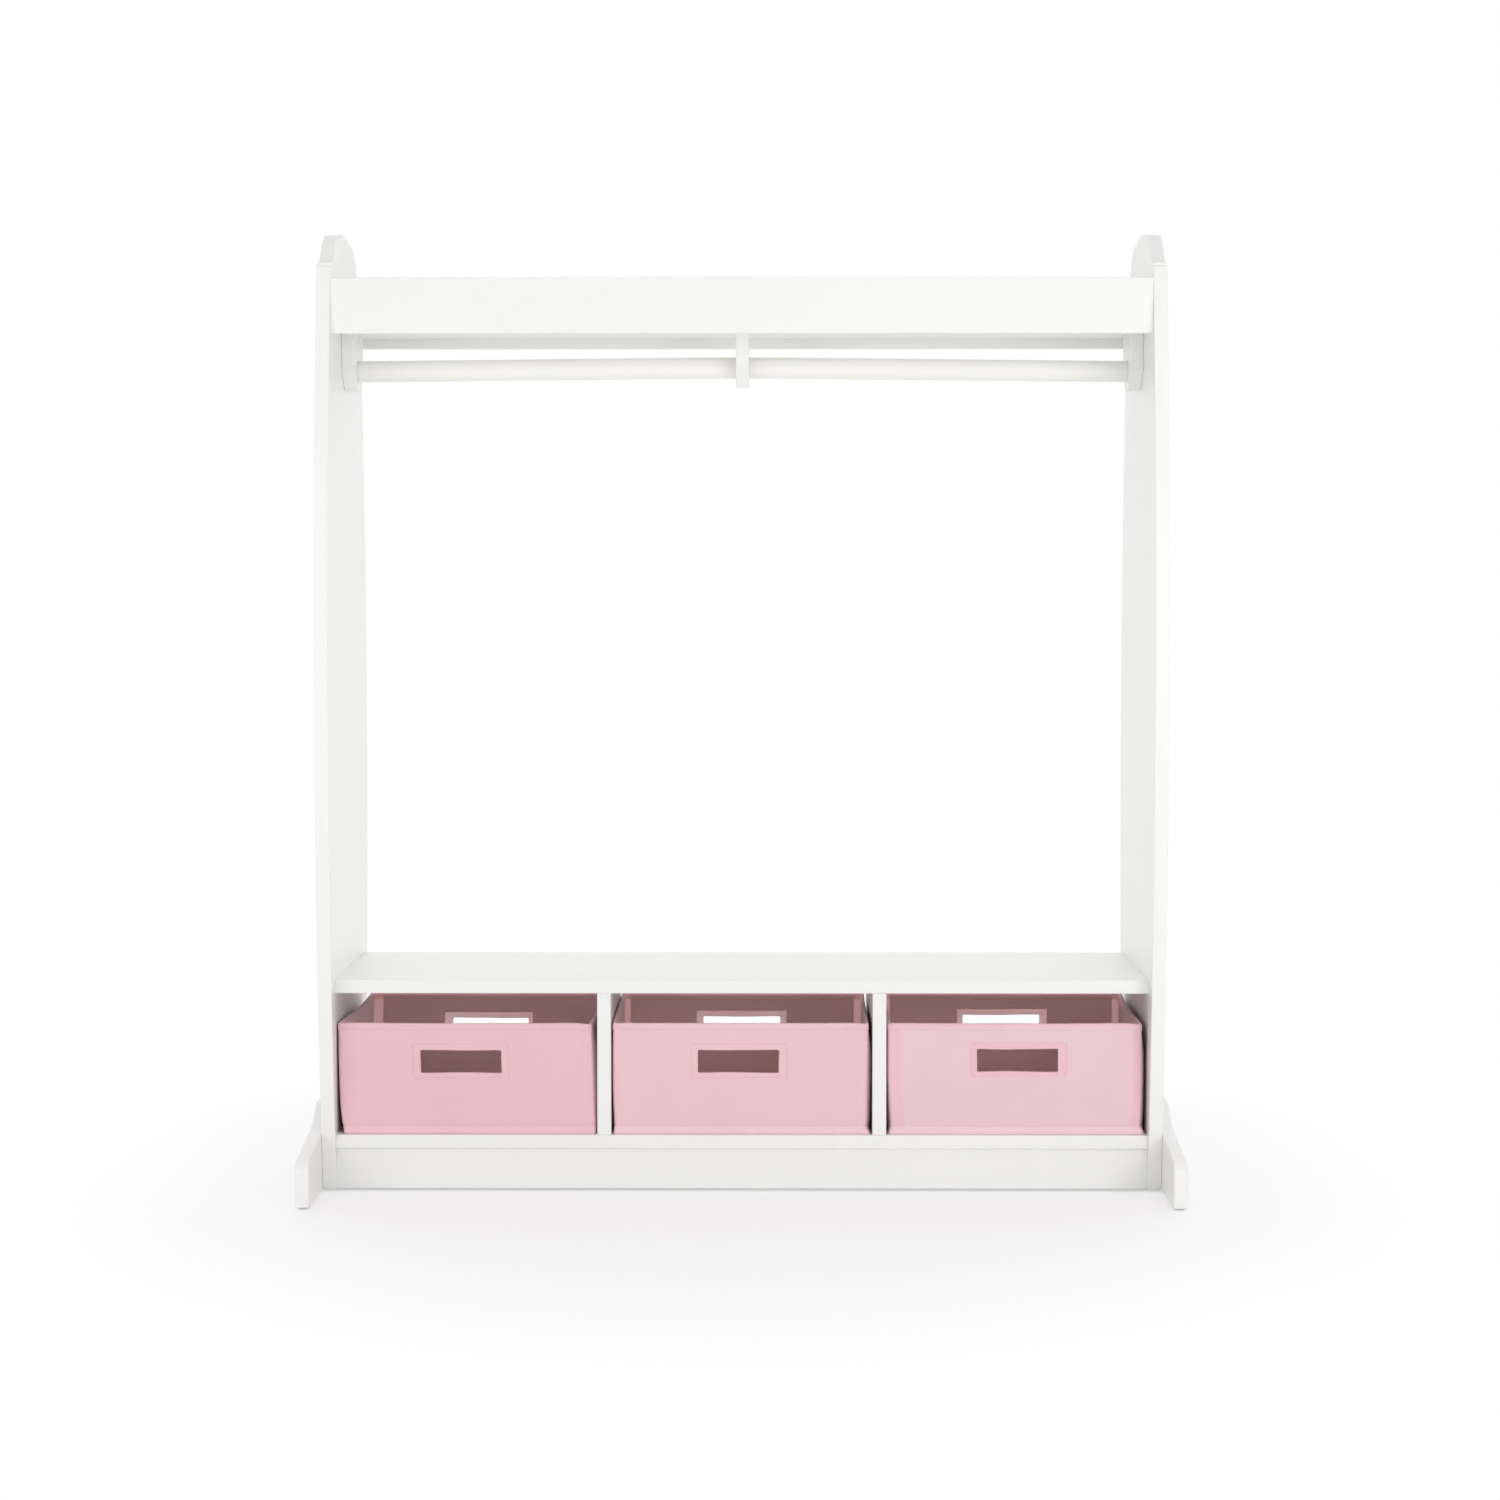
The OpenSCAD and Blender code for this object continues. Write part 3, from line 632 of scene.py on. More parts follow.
# %% Round heads with a cross
def cross_head(radius, proud, dome, cross_reach, cross_depth):
    """A head on its face, as points and faces: rows run outwards from the middle.

    Height over the face = proud + dome * (1 - (r / radius) squared) - cross, where the cross is
    cross_depth deep within about a tenth of the radius of either centre line, and ends at
    cross_reach.
    """
    edge, sunk = 0.25 * MM, 0.1 * MM
    round_once = circle(48)
    r = np.concatenate([[0.04 * radius], np.linspace(0.12, 1.0, 13) * (radius - edge)])[:, None]
    flat = r[..., None] * round_once
    arm = np.abs(flat).min(axis=-1)
    cross = smooth_step((0.13 * radius - arm) / (0.06 * radius))
    cross = cross * smooth_step((cross_reach - r) / (0.12 * radius))
    top = np.dstack([flat, proud + dome * (1 - (r / radius) ** 2) - cross_depth * cross])
    rim = carried(np.array([radius - 0.08 * MM, radius, radius])[:, None, None] * round_once, "z",
                  [proud - 0.08 * MM, proud - edge, -sunk])
    return closed(np.concatenate([top, rim])[::-1])


def frames_facing(directions):
    """For each direction a right-handed set of three axes whose last one is the direction."""
    w = np.asarray(directions, float)
    helper = np.where(np.abs(w[:, 2:3]) > 0.9, [[1.0, 0.0, 0.0]], [[0.0, 0.0, 1.0]])
    u = unit(np.cross(helper, w))
    return np.stack([u, np.cross(w, u), w], axis=1)


def many(name, shape, places, directions, material, slot, node, turns=0.0):
    """Copies of one small shape, each standing on its own place and facing its own way.

    A copy's point = place + spun x * first axis + spun y * second axis + z * direction.
    """
    points, quads, caps = shape
    c, s = math.cos(turns), math.sin(turns)
    spun = points @ np.array([[c, s, 0], [-s, c, 0], [0, 0, 1]])
    placed = np.einsum("pk,nkj->npj", spun, frames_facing(directions))
    placed = placed + np.asarray(places, float)[:, None, :]
    starts = np.arange(len(places)) * len(points)
    all_quads = (quads + starts[:, None, None]).reshape(-1, 4)
    all_caps = [cap + start for start in starts for cap in caps]
    piece = make_piece(name, placed, all_quads, all_caps, crease=50)
    dress(piece, [material], "frame", slot, node)
    print(name, len(places))

# %% Cam locks
CAM_FROM_PANEL = 34 * MM
CAM_FROM_EDGE = 43 * MM
bench_low, bench_high = box("bench_top")
plinth_low, plinth_high = box("front_plinth")
shelf_low = box("bottom_shelf")[0]
top_high = box("top_shelf")[1]
header_high = box("front_header")[1]
panel_x = panel_low[0]
cam_x = panel_x - CAM_FROM_PANEL
header_cam_z = (top_high[2] + header_high[2]) / 2
plinth_z = (plinth_low[2] + plinth_high[2]) / 2
cam_rows = [(sign * (edge_y - CAM_FROM_EDGE), z, (0, 0, way)) for edge_y, z, way in
            ((bench_high[1], bench_low[2], -1), (bench_high[1], shelf_low[2], -1),
             (top_high[1], top_high[2], 1)) for sign in SIGNS]
cam_rows += [(-sign * y, z, (0, -sign, 0)) for y, z in
             ((header_high[1], header_cam_z), (plinth_high[1], plinth_z)) for sign in SIGNS]
many("zinc_cam_faces", cross_head(7.4 * MM, 0.45 * MM, 0.0, 5.2 * MM, 0.4 * MM),
     [(x, y, z) for x in (-cam_x, cam_x) for y, z, _ in cam_rows],
     [way for _, _, way in cam_rows] * 2, zinc, "zinc", "cam_locks", turns=0.6)

# %% Screws in the shelf and the feet
ROD_END_PLAY = 1 * MM
HALF_BRACKET = 8.5 * MM
BRACKET_SCREW_Y = 28 * MM
bracket_x = rod_high[0] + ROD_END_PLAY - HALF_BRACKET
wood_head = cross_head(4.4 * MM, 0.4 * MM, 0.0, 3.2 * MM, 0.35 * MM)
many("steel_bracket_screws", wood_head,
     [(x, sign * BRACKET_SCREW_Y, top_high[2]) for x in (-bracket_x, 0, bracket_x)
      for sign in SIGNS],
     [UP] * 6, steel, "steel", "bracket_screws", turns=0.3)
FOOT_SCREW_Y = np.array([-108, -36, 36, 108]) * MM
many("steel_foot_screws", wood_head,
     [(sign * panel_x, y, plinth_z) for sign in SIGNS for y in FOOT_SCREW_Y],
     [(-sign, 0, 0) for sign in SIGNS for _ in FOOT_SCREW_Y], steel, "steel", "foot_screws",
     turns=0.8)

# %% Glides
GLIDE_RADIUS = 8 * MM
glide_x, glide_y = box("glides")[1][:2] - GLIDE_RADIUS
glide_profile = np.array([[0, 5.6], [0.25, 6.7], [0.8, 7.6], [1.5, 8], [2.6, 8], [3, 7.8]]) * MM
many("nylon_glides", turned(glide_profile, "z", 40),
     [(x, y, 0) for x in (-glide_x, glide_x) for y in (-glide_y, glide_y)], [UP] * 4,
     nylon, "nylon", "glides")

# %% [markdown]
# ## The mirror
# The photograph doesn't show the mirror, so it hangs where such a unit has it: flat on the
# outer face of one end panel, held by six dome-headed screws. It is a rounded rectangle carried
# through its thickness, silvered on its face and clear green at its polished edge.

# %% Mirror sheet and its screws
silvering = finish("silvering", (222, 228, 229), (3.0, 0.01), (0.05, 0.03, 0.02), 0.000012,
                   constants=METAL)
glass_edge = finish("glass_edge", (150, 182, 174), (20.0, 0.08), (0.002, 0.12, 0.08), 0.00001)

MIRROR_ROUND = 12 * MM
MIRROR_SCREW_INSET = 16 * MM
mirror_low, mirror_high = box("mirror_sheet")
half_mirror = (mirror_high - mirror_low)[1:] / 2
mirror_mid_z = (mirror_high[2] + mirror_low[2]) / 2
mirror_outline = np.concatenate([
    arc((0, mirror_mid_z) + (half_mirror - MIRROR_ROUND) * SQUARE[k], MIRROR_ROUND, start,
        start + 90, steps=12) for k, start in ((1, -90), (2, 0), (3, 90), (0, 180))])
mirror = outlined_board("mirror_glass", mirror_outline, "x", mirror_low[0], mirror_high[0])
ease(mirror, 0.7 * MM)
dress(mirror, [silvering, glass_edge], "frame", "mirror", "mirror_sheet")
finish_numbers = np.ones(len(mirror.data.polygons), dtype=np.int32)
finish_numbers[-1] = 0
mirror.data.polygons.foreach_set("material_index", finish_numbers)

screw_y, screw_z = half_mirror - MIRROR_SCREW_INSET
many("steel_mirror_screws", cross_head(4 * MM, 0.5 * MM, 1.45 * MM, 2.5 * MM, 0.9 * MM),
     [(mirror_high[0], y, mirror_mid_z + z) for y in (-screw_y, screw_y)
      for z in (-screw_z, 0, screw_z)],
     [(1, 0, 0)] * 6, steel, "steel", "mirror_screws", turns=0.5)
print("mirror:", *(2 * half_mirror / MM).round(), "mm")

# %% [markdown]
# ## Fittings inside the wood
# The cam pins and the dowels can't be seen once the unit is together, and their solids already
# have the right shape, so they stay and only get a finish: plated steel and straight-grained
# beech.

# %% Beech, and finishes for the hidden solids
beech = finish("beech", (214, 178, 130), (90.0, 0.18), (0.0007, 0.6, 0.1), 0.00005,
               specks=((150, 108, 66), 1400.0, 0.5), squeeze=(0.15, 1, 1))
for node, material in (("cam_pins", steel), ("dowels", beech)):
    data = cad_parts[node].data
    data.materials.clear()
    data.materials.append(material)
    print("hidden solid finished:", node)

# %% [markdown]
# ## The bins' cloth
# The bins are folding boxes: pink canvas sewn round stiff card. Where card lies behind it the
# cloth is smooth and a little greyer. Without card, at the corners and round the handle
# cut-outs, it is pinker and dips slightly, and the bound edge below the bottom seam is fresher
# still. One node recipe serves canvas and lining, with these places read from two attributes.
# The lining's pink is partly its own colour and partly painted light: it is paler than the
# canvas, so that the dim inside of each bin reads brighter.
# In the photograph light comes through the back wall where no card stops it, so there the same
# recipe gets subsurface scattering. Each bin's canvas is given tones a little apart from the
# others'.

# %% Materials: canvas, lining and thread
def cloth_material(name, tones, gap_shade, depth, sheen, thin=0.0):
    """Plain-woven cloth on its flat pattern: its tone over card, loose, and on the bound edge."""
    over_card, loose, bound = (srgb(*tone) for tone in tones)
    material, tree, shader, places = new_material(name)
    card, edge = (add(tree, "Attribute", attribute_name=mark)["Fac"] for mark in ("card", "bound"))
    weave = place(tree, "Plain weave", places["UV"], 0.00085, 1.4)
    ground = mixed(tree, edge, mixed(tree, card, loose, over_card), bound)
    tone = place(tree, "Tone drift", places["Object"], ground, 9.0, 0.05)[0]
    fuzz = place(tree, "Tone drift", places["UV"], tone, 700.0, 0.06)[0]
    shade = maths(tree, "MULTIPLY_ADD", weave["Gap"], -gap_shade, 1.0)
    feed(tree, shader, {
        "Base Color": scaled(tree, fuzz, shade),
        "Roughness": maths(tree, "MULTIPLY_ADD", weave["Height"], -0.08, 0.86),
        "Specular IOR Level": 0.25, "Sheen Weight": sheen, "Sheen Roughness": 0.6,
        "Subsurface Weight": thin, "Subsurface Radius": (1.0, 0.9, 0.9),
        "Subsurface Scale": 9 * MM})
    bump(tree, shader, weave["Height"], depth)
    print("material:", name)
    return material


# The lining's tones are partly its own pink and partly painted light: paler than the canvas, so the
# dim inside of each bin reads brighter.
LINING_WITH_PAINTED_LIGHT = (254, 216, 216), (254, 213, 214), (254, 216, 216)
# Each bin's canvas gets its own tones over card, loose and on the bound edge.
BIN_TONES = {
    "left_bin": ((247, 204, 211), (248, 204, 211), (254, 208, 217)),
    "middle_bin": ((246, 209, 214), (249, 208, 215), (254, 214, 223)),
    "right_bin": ((247, 212, 216), (249, 205, 213), (252, 218, 224))}
lining, thin_lining = (cloth_material(name, LINING_WITH_PAINTED_LIGHT, 0.06, 0.00014, 0.45, thin) for name, thin in
                       (("pink_lining", 0.0), ("thin_pink_lining", 1.0)))
canvases = {body: [cloth_material(body + name, tones, 0.10, 0.00016, 0.2, thin)
                   for name, thin in (("_canvas", 0.0), ("_thin_canvas", 1.0))]
            for body, tones in BIN_TONES.items()}
thread = finish("pink_thread", (240, 190, 200), (400.0, 0.08), (0.0005, 0.6, 0.1), 0.00005)

# %% [markdown]
# ## How a bin stands
# A bin is drawn twice over. First its cloth lies flat: one strip whose length runs once round
# the walls and whose height is the bin's. Then the strip is stood up round a rounded rectangle.
# Last the whole box is warped a little, because no cloth box stands true: walls lean and bow,
# the rim sags, and the bottom seam pulls in. Everything in the bin takes the same warp.

# %% Sizes of a bin
WALL = 4 * MM
CORNER = 4.5 * MM
SEAM_Z = 10 * MM
HEM = 9.5 * MM
HOLE_HALF = np.array([53.9, 15.8]) * MM
HOLE_DROP = 34.2 * MM
HOLE_ROUND = 2.2 * MM
BOTTOM_ROUND = 1.5 * MM
RIM_ROUND = WALL / 2
CARD_DROP = 3.8 * MM
SIDE_HINGE = 6 * MM
GAP_BESIDE = 7.4 * MM
GAP_ABOVE = 6.3 * MM
GAP_BELOW = 3.9 * MM
WINDOW_HALF = HOLE_HALF + [GAP_BESIDE, (GAP_ABOVE + GAP_BELOW) / 2]
STEP = 4.5 * MM
FLOOR_Z = 1 * MM

bin_low, bin_high = box("left_bin_cover")
BIN_W, BIN_D, BIN_H = bin_high - bin_low
HOLE_Z = BIN_H - HOLE_DROP - HOLE_HALF[1]
WINDOW_Z = HOLE_Z + (GAP_ABOVE - GAP_BELOW) / 2

# %% The path round the walls
# It is a rounded rectangle, as tables of length, place and outward normal. It starts behind the
# left wall and turns anticlockwise seen from above, and each corner is its centre plus its
# radius times (cosine, sine) of an angle that grows by 90 degrees.
angle = np.radians(np.array([180, 270, 0, 90])[:, None] + np.linspace(0, 90, 25))
path_normal = pointing(angle)
path_centre = SQUARE * (np.array([BIN_W, BIN_D]) / 2 - CORNER)
path_xy = path_centre[:, None, :] + CORNER * path_normal
path_xy, path_normal = (np.concatenate([part[-1, -1:], part.reshape(-1, 2)])
                        for part in (path_xy, path_normal))
path_s = np.concatenate([[0.0], np.cumsum(np.linalg.norm(np.diff(path_xy, axis=0), axis=1))])
AROUND = path_s[-1]
SIDE_RUN = BIN_D - 2 * CORNER
FRONT_RUN = BIN_W - 2 * CORNER
TURN_RUN = (AROUND - 2 * SIDE_RUN - 2 * FRONT_RUN) / 4
FRONT_START = SIDE_RUN + TURN_RUN
RIGHT_START = FRONT_START + FRONT_RUN + TURN_RUN
BACK_START = RIGHT_START + SIDE_RUN + TURN_RUN
FRONT_MID = FRONT_START + FRONT_RUN / 2
BACK_MID = BACK_START + FRONT_RUN / 2
print("cloth once round a bin:", round(AROUND / MM), "mm")


def nearest_turn(s):
    """The same length round the bin, brought to within half a turn of zero."""
    return (s + AROUND / 2) % AROUND - AROUND / 2

# %% Where the flat cloth has its rows and columns
def spread(low, high, step):
    """Evenly spaced numbers with both ends, about a step apart."""
    return np.linspace(low, high, max(2, int(round((high - low) / step)) + 1))


def sorted_once(parts):
    """All the numbers in order, each once, to a tenth of a micron."""
    return np.unique(np.round(np.concatenate(parts), 7))


def window_middles(shape):
    """Where round the bin each cut-out and its window in the card have their middles."""
    return ((FRONT_MID, FRONT_MID + shape["front_window"] * MM),
            (BACK_MID, BACK_MID - shape["back_window"] * MM))


def run_columns(start, length, hinges, window=None):
    """Columns along one wall and round the corner after it, closer beside hinges and window."""
    margin = 26 * MM
    columns = [spread(0, length, length), length + TURN_RUN * np.array([0.25, 0.5, 0.75])]
    for edge, way, hinge in ((0, 1, hinges[0]), (length, -1, hinges[1])):
        close = np.array([-3, -1.2, -0.4, 0.4, 1.2, 3]) * MM + hinge
        columns += [edge + way * close, edge + way * spread(0, margin, STEP)]
    if window is None:
        columns.append(spread(margin, length - margin, STEP))
    else:
        middle, half = window - start, WINDOW_HALF[0]
        ends = np.array([0.957, 0.971, 0.986, 1])
        share = np.concatenate([spread(-0.943, 0.943, 0.075), -ends, ends])
        beside = half + np.array([0.6, 1.2, 2.4, 3.6]) * MM
        columns += [middle + half * share, middle - beside, middle + beside,
                    spread(margin, middle - half - 6 * MM, STEP),
                    spread(middle + half + 6 * MM, length - margin, STEP)]
    return start + sorted_once(columns)


row_share = np.array([0, 0.4, 0.786, 0.84, 0.893, 0.946, 1])
row_share = np.concatenate([-row_share, row_share])
beside_rows = WINDOW_HALF[1] + np.array([0.6, 1.2, 2.4]) * MM
rows_z = sorted_once([
    np.array([0, 0.2, 0.7, 1.5, 4, 6.5, 8, 8.8, 9.4, 10, 10.6, 11.2, 12.5, 15]) * MM,
    spread(19 * MM, WINDOW_Z - WINDOW_HALF[1] - 5 * MM, STEP),
    WINDOW_Z + WINDOW_HALF[1] * row_share, WINDOW_Z - beside_rows, WINDOW_Z + beside_rows,
    BIN_H - HEM + np.array([-4, -2, -1.2, -0.6, 0, 0.6, 1.2, 2, 4]) * MM,
    BIN_H - RIM_ROUND - np.array([2.4, 1.8, 1.2, 0]) * MM])
print("rows of cloth:", len(rows_z))

# %% The flat cloth with its cut-outs
RING_SHARES = np.array([0.1, 0.22, 0.45, 0.7, 0.9, 1.0])[:, None, None]


def rounded(points, half, radius):
    """Moves points on a rectangle's edge onto the same rectangle with rounded corners.

    Each point keeps its direction from the nearest point of the inner rectangle, which is the
    outer one shrunk by the radius, and lies one radius from it.
    """
    core = np.clip(points, radius - half, half - radius)
    away = points - core
    return core + radius * away / np.linalg.norm(away, axis=1, keepdims=True)


def nearest(numbers, wanted):
    """Where in an array the number nearest to the wanted one is."""
    return int(np.argmin(np.abs(numbers - wanted)))


def flat_cloth(columns, windows):
    """Flat points (length round, height), their quads, and each cut-out's two inmost loops.

    The grid's quads inside a window are left out. Rings take their place, each a mix of the
    window's edge and the rounded cut-out's edge in one of the ring shares.
    """
    flat = np.stack(np.meshgrid(columns, rows_z), axis=-1)
    numbers = numbered(flat)
    flat = flat.reshape(-1, 2)
    quads = loop_faces(numbers)
    middles = flat[quads[:, 0]] * 0.5 + flat[quads[:, 2]] * 0.5
    kept = np.ones(len(quads), bool)
    points, rings, loops, total = [flat], [], [], len(flat)
    low, high = (nearest(rows_z, WINDOW_Z + sign * WINDOW_HALF[1]) for sign in SIGNS)
    for middle, window in windows:
        hole_centre, centre = np.array([middle, HOLE_Z]), np.array([window, WINDOW_Z])
        kept &= ~(np.abs(middles - centre) < WINDOW_HALF).all(axis=1)
        left, right = (nearest(columns, window + sign * WINDOW_HALF[0]) for sign in SIGNS)
        border = np.concatenate([numbers[low, left:right], numbers[low:high, right],
                                 numbers[high, right:left:-1], numbers[high:low:-1, left]])
        edge = flat[border] - centre
        hole = rounded(edge * (HOLE_HALF / WINDOW_HALF), HOLE_HALF, HOLE_ROUND)
        ring = (centre + edge) * (1 - RING_SHARES) + (hole_centre + hole) * RING_SHARES
        points.append(ring.reshape(-1, 2))
        added = total + numbered(ring)
        rings.append(loop_faces(np.concatenate([border[None], added])))
        loops.append(added[-2:])
        total += added.size
    return np.concatenate(points), np.concatenate([quads[kept]] + rings), loops

# %% [markdown]
# ## From flat to standing
# The place of the card is a number from 0 to 1 worked out on the flat cloth. It sets both the
# tone of the cloth and how far it dips. Puckers are a sum of sine waves whose count round the
# bin is whole, so they close on themselves; their phases come from one fixed seed per bin.

# %% Card, dips and puckers
WINDOW_DIP = 0.55 * MM
LOOSE_DIP = 0.35 * MM
SEAM_DIP = 0.55 * MM
FOLD_DIP = 0.4 * MM
BAND_RISE = 0.3 * MM


def in_window(s, z, shape):
    """1 in the windows that the card leaves round the cut-outs, with edges 1.2 mm wide."""
    outside = np.minimum(*(np.maximum(np.abs(s - window) - WINDOW_HALF[0],
                                      np.abs(z - WINDOW_Z) - WINDOW_HALF[1])
                           for _, window in window_middles(shape)))
    return 1 - smooth_step(outside / (1.2 * MM))


def card_behind(s, z, shape):
    """1 where card lies behind the cloth, 0 where it doesn't, with soft edges about 1 mm wide.

    It is a product of smooth steps: above the bottom seam, below the rim, further from every
    corner than the hinge beside it is wide, and outside the windows.
    """
    card = smooth_step((z - SEAM_Z + 0.3 * MM) / (1.2 * MM))
    card = card * smooth_step((BIN_H - CARD_DROP - z) / (1.0 * MM) + 0.5)
    corner = np.array([SIDE_RUN, FRONT_START + FRONT_RUN, RIGHT_START + SIDE_RUN,
                       BACK_START + FRONT_RUN]) + TURN_RUN / 2
    from_corner = nearest_turn(s[..., None] - corner)
    front, back = np.array(shape["hinges"]) * MM, np.array(shape["back_hinges"]) * MM
    before = np.array([SIDE_HINGE, front[1], SIDE_HINGE, back[0]]) + TURN_RUN / 2
    behind = np.array([front[0], SIDE_HINGE, back[1], SIDE_HINGE]) + TURN_RUN / 2
    limit = np.where(from_corner > 0, behind, before)
    card = card * smooth_step((np.abs(from_corner) - limit) / (1.6 * MM) + 0.5).min(axis=-1)
    return card * (1 - in_window(s, z, shape))


def puckers(s, z, phases):
    """Soft, shallow waves: fourteen sines across and up, weaker the shorter they are."""
    counts = np.array([5, 7, 9, 12, 14, 17, 21, 26, 31, 37, 46, 58, 71, 90])
    rises = np.linspace(6, 60, len(counts)) * np.where(np.arange(len(counts)) % 2, -1, 1)
    angle = (2 * math.pi * counts * s[..., None] / AROUND + rises * z[..., None]
             + phases[: len(counts)])
    return (np.sin(angle) / np.sqrt(counts)).sum(axis=-1) * 0.22 * MM


def surface_dip(s, z, card, window, phases, inner):
    """How far the cloth lies outside its nominal face, in metres.

    It dips in the windows, where no card is behind it, at the bottom seam and at the hem's fold,
    and the hem's band lies higher. Puckers are added, strongest where no card is, and one fine
    sine wave beside the two seams.
    """
    hem_line = BIN_H - HEM
    seam = bell(z - SEAM_Z, 0.8 * MM)
    fold = bell(z - hem_line, 0.7 * MM)
    band = smooth_step((z - hem_line) / (1.0 * MM))
    below_rim = smooth_step((hem_line - z) / (1.0 * MM))
    dip = (-WINDOW_DIP * window - LOOSE_DIP * (1 - card) * (1 - window) * below_rim
           - SEAM_DIP * seam - FOLD_DIP * fold + BAND_RISE * band)
    near_line = bell(z - hem_line, 7 * MM) + bell(z - SEAM_Z, 8 * MM)
    fine = np.sin(2 * math.pi * 96 * s / AROUND + phases[14]) * 0.10 * MM * near_line
    waves = puckers(s + (0.4 if inner else 0.0), z, phases) * (0.55 + 0.45 * (1 - card)) + fine
    return dip + waves

# %% How each bin stands
# Insets in millimetres at heights in millimetres: how far each wall leans in (plus) or out.
# The skew is how far the back wall's left end stands to the right, and the flare how far its
# right end's rim does. A hole's two numbers are how far its cut-out was cut off centre, to the
# right and up, a window's number is how far the card's window lies to the right of that, and
# hinges are the widths without card at a wall's two ends.
BIN_SHAPES = {
    "left_bin": dict(
        seed=11, hinges=(14, 9), back_hinges=(12, 6),
        front_hole=(-5.9, -0.5), back_hole=(2.6, 0.4), front_window=0, back_window=-3.0,
        skew=[(0, 1), (40, 3.5), (100, 9), (145, 11)], flare=0,
        left=[(0, 7.1), (16, 4.4), (38, 2.3), (56, 1.4), (96, 0.6), (145, 0)],
        right=[(0, -4.0), (9, -3.2), (80, -0.6), (145, 2.2)],
        bow=dict(left=-1.6, right=0.4, front=1.2, back=-1.0),
        sag=dict(front=0.8, back=1.0, left=2.2, right=1.6),
        droop=dict(right=2.6, left=0.4)),
    "middle_bin": dict(
        seed=12, hinges=(6, 7), back_hinges=(7, 9),
        front_hole=(-2.5, -0.1), back_hole=(-1.0, 2.7), front_window=1.2, back_window=-0.5,
        skew=[(0, 0), (145, 0)], flare=2,
        left=[(0, 0.4), (5, 1.2), (12, 2.3), (40, 0.8), (70, 0), (145, 0.4)],
        right=[(0, -3.6), (4, -1.5), (9, 2.7), (20, 1.6), (70, 0.3), (145, -0.6)],
        bow=dict(left=0.3, right=-0.2, front=1.0, back=-1.4),
        sag=dict(front=0.4, back=1.2, left=1.6, right=2.4),
        droop=dict(right=0.9, left=0.6)),
    "right_bin": dict(
        seed=13, hinges=(14, 7), back_hinges=(8, 8.5),
        front_hole=(3.2, 1.5), back_hole=(0.4, 4.9), front_window=1.6, back_window=1.3,
        skew=[(0, 0), (145, 0)], flare=2,
        left=[(0, 0.2), (5, 2.6), (12, 4.2), (40, 1.8), (75, 0.2), (145, 0)],
        right=[(0, -2.2), (4, -0.6), (10, 3.4), (30, 2.2), (75, 1.0), (145, 1.4)],
        bow=dict(left=-0.8, right=-2.4, front=1.3, back=-0.8),
        sag=dict(front=0.5, back=0.8, left=1.8, right=2.6),
        droop=dict(right=1.6, left=0.5))}
# The right wall has a share of the left one's skew. What leans in keeps only a share behind the
# front, reached after a share of the depth, and the bellies are in millimetres like the insets.
BACK_RISE = 4.6 * MM
SKEW_AT_RIGHT = 0.55
LEAN_BEHIND = 0.3
LEAN_RUN = 0.2
BELLY_LEFT, BELLY_RIGHT = 1.3, 4.8
SEAM_PINCH = 1.6 * MM
DROOP_REACH = 13 * MM


def eased_table(z, knots):
    """Insets at heights z: straight lines between the knots, then averaged over 6 mm."""
    heights, insets = (np.array(column) * MM for column in zip(*knots))
    fine = np.linspace(-3 * MM, BIN_H + 3 * MM, 304)
    lines = np.pad(np.interp(fine, heights, insets), 6, mode="edge")
    return np.interp(z, fine, np.convolve(lines, np.ones(13) / 13, mode="valid"))


def side_inset(z, v, knots):
    """A side wall's inset: the table's at the front, and of what leans in only a share behind."""
    inset = eased_table(z, knots)
    return inset - (1 - LEAN_BEHIND) * np.maximum(inset, 0) * smooth_step(v / LEAN_RUN)


def warp(points, low, shape):
    """Leans, bows and sags a straight box. low is the box's lowest corner.

    With u and v the shares of the width and depth, a wall's inset at height z counts fully at
    that wall and fades to nothing at the opposite one, and so do the back wall's skew and the
    flare of its rim. A bow follows 4 v (1 - v) along its wall and grows with height. A sag
    follows it too, a droop is a bell round a front corner, and both lower the cloth by the
    fourth power of its share of the height. The box stands taller towards the back by the back
    rise. Between rim and floor the side walls belly out a little behind the front corners, and
    the bottom seam pinches the front and back walls in.
    """
    x, y, z = points[..., 0], points[..., 1], points[..., 2]
    u = np.clip((x - low[0]) / BIN_W, 0, 1)
    v = np.clip((y - low[1]) / BIN_D, 0, 1)
    height = z - low[2]
    t = np.clip(height / BIN_H, 0, 1)
    crown_u = 4 * u * (1 - u)
    crown_v = 4 * v * (1 - v)
    grow = smooth_step(t * 1.3)
    bow, sag = shape["bow"], shape["sag"]
    belly = smooth_step(v / 0.1) * smooth_step((1 - v) / 0.1)
    belly = belly * smooth_step(t / 0.07) * smooth_step((1 - t) / 0.3)
    new_x = (x + (1 - u) * side_inset(height, v, shape["left"])
             - u * side_inset(height, v, shape["right"])
             + belly * MM * (u * BELLY_RIGHT - (1 - u) * BELLY_LEFT)
             + crown_v * grow * MM * (u * bow["right"] - (1 - u) * bow["left"])
             + v * eased_table(height, shape["skew"]) * (1 - (1 - SKEW_AT_RIGHT) * u)
             + v * u * t * shape["flare"] * MM)
    pinch = SEAM_PINCH * bell(height - SEAM_Z, 5 * MM)
    new_y = (y + (1 - v) * pinch - v * pinch
             + crown_u * grow * MM * (v * bow["back"] - (1 - v) * bow["front"]))
    fall = (crown_u * ((1 - v) * sag["front"] + v * sag["back"])
            + crown_v * ((1 - u) * sag["left"] + u * sag["right"]) * (1 - crown_u))
    for side, corner_u in (("right", 1), ("left", 0)):
        distance = np.hypot((u - corner_u) * BIN_W, v * BIN_D)
        fall = fall + shape["droop"][side] * bell(distance, DROOP_REACH)
    new_z = z - fall * MM * t ** 4 + BACK_RISE * v * t
    return np.stack([new_x, new_y, new_z], axis=-1)


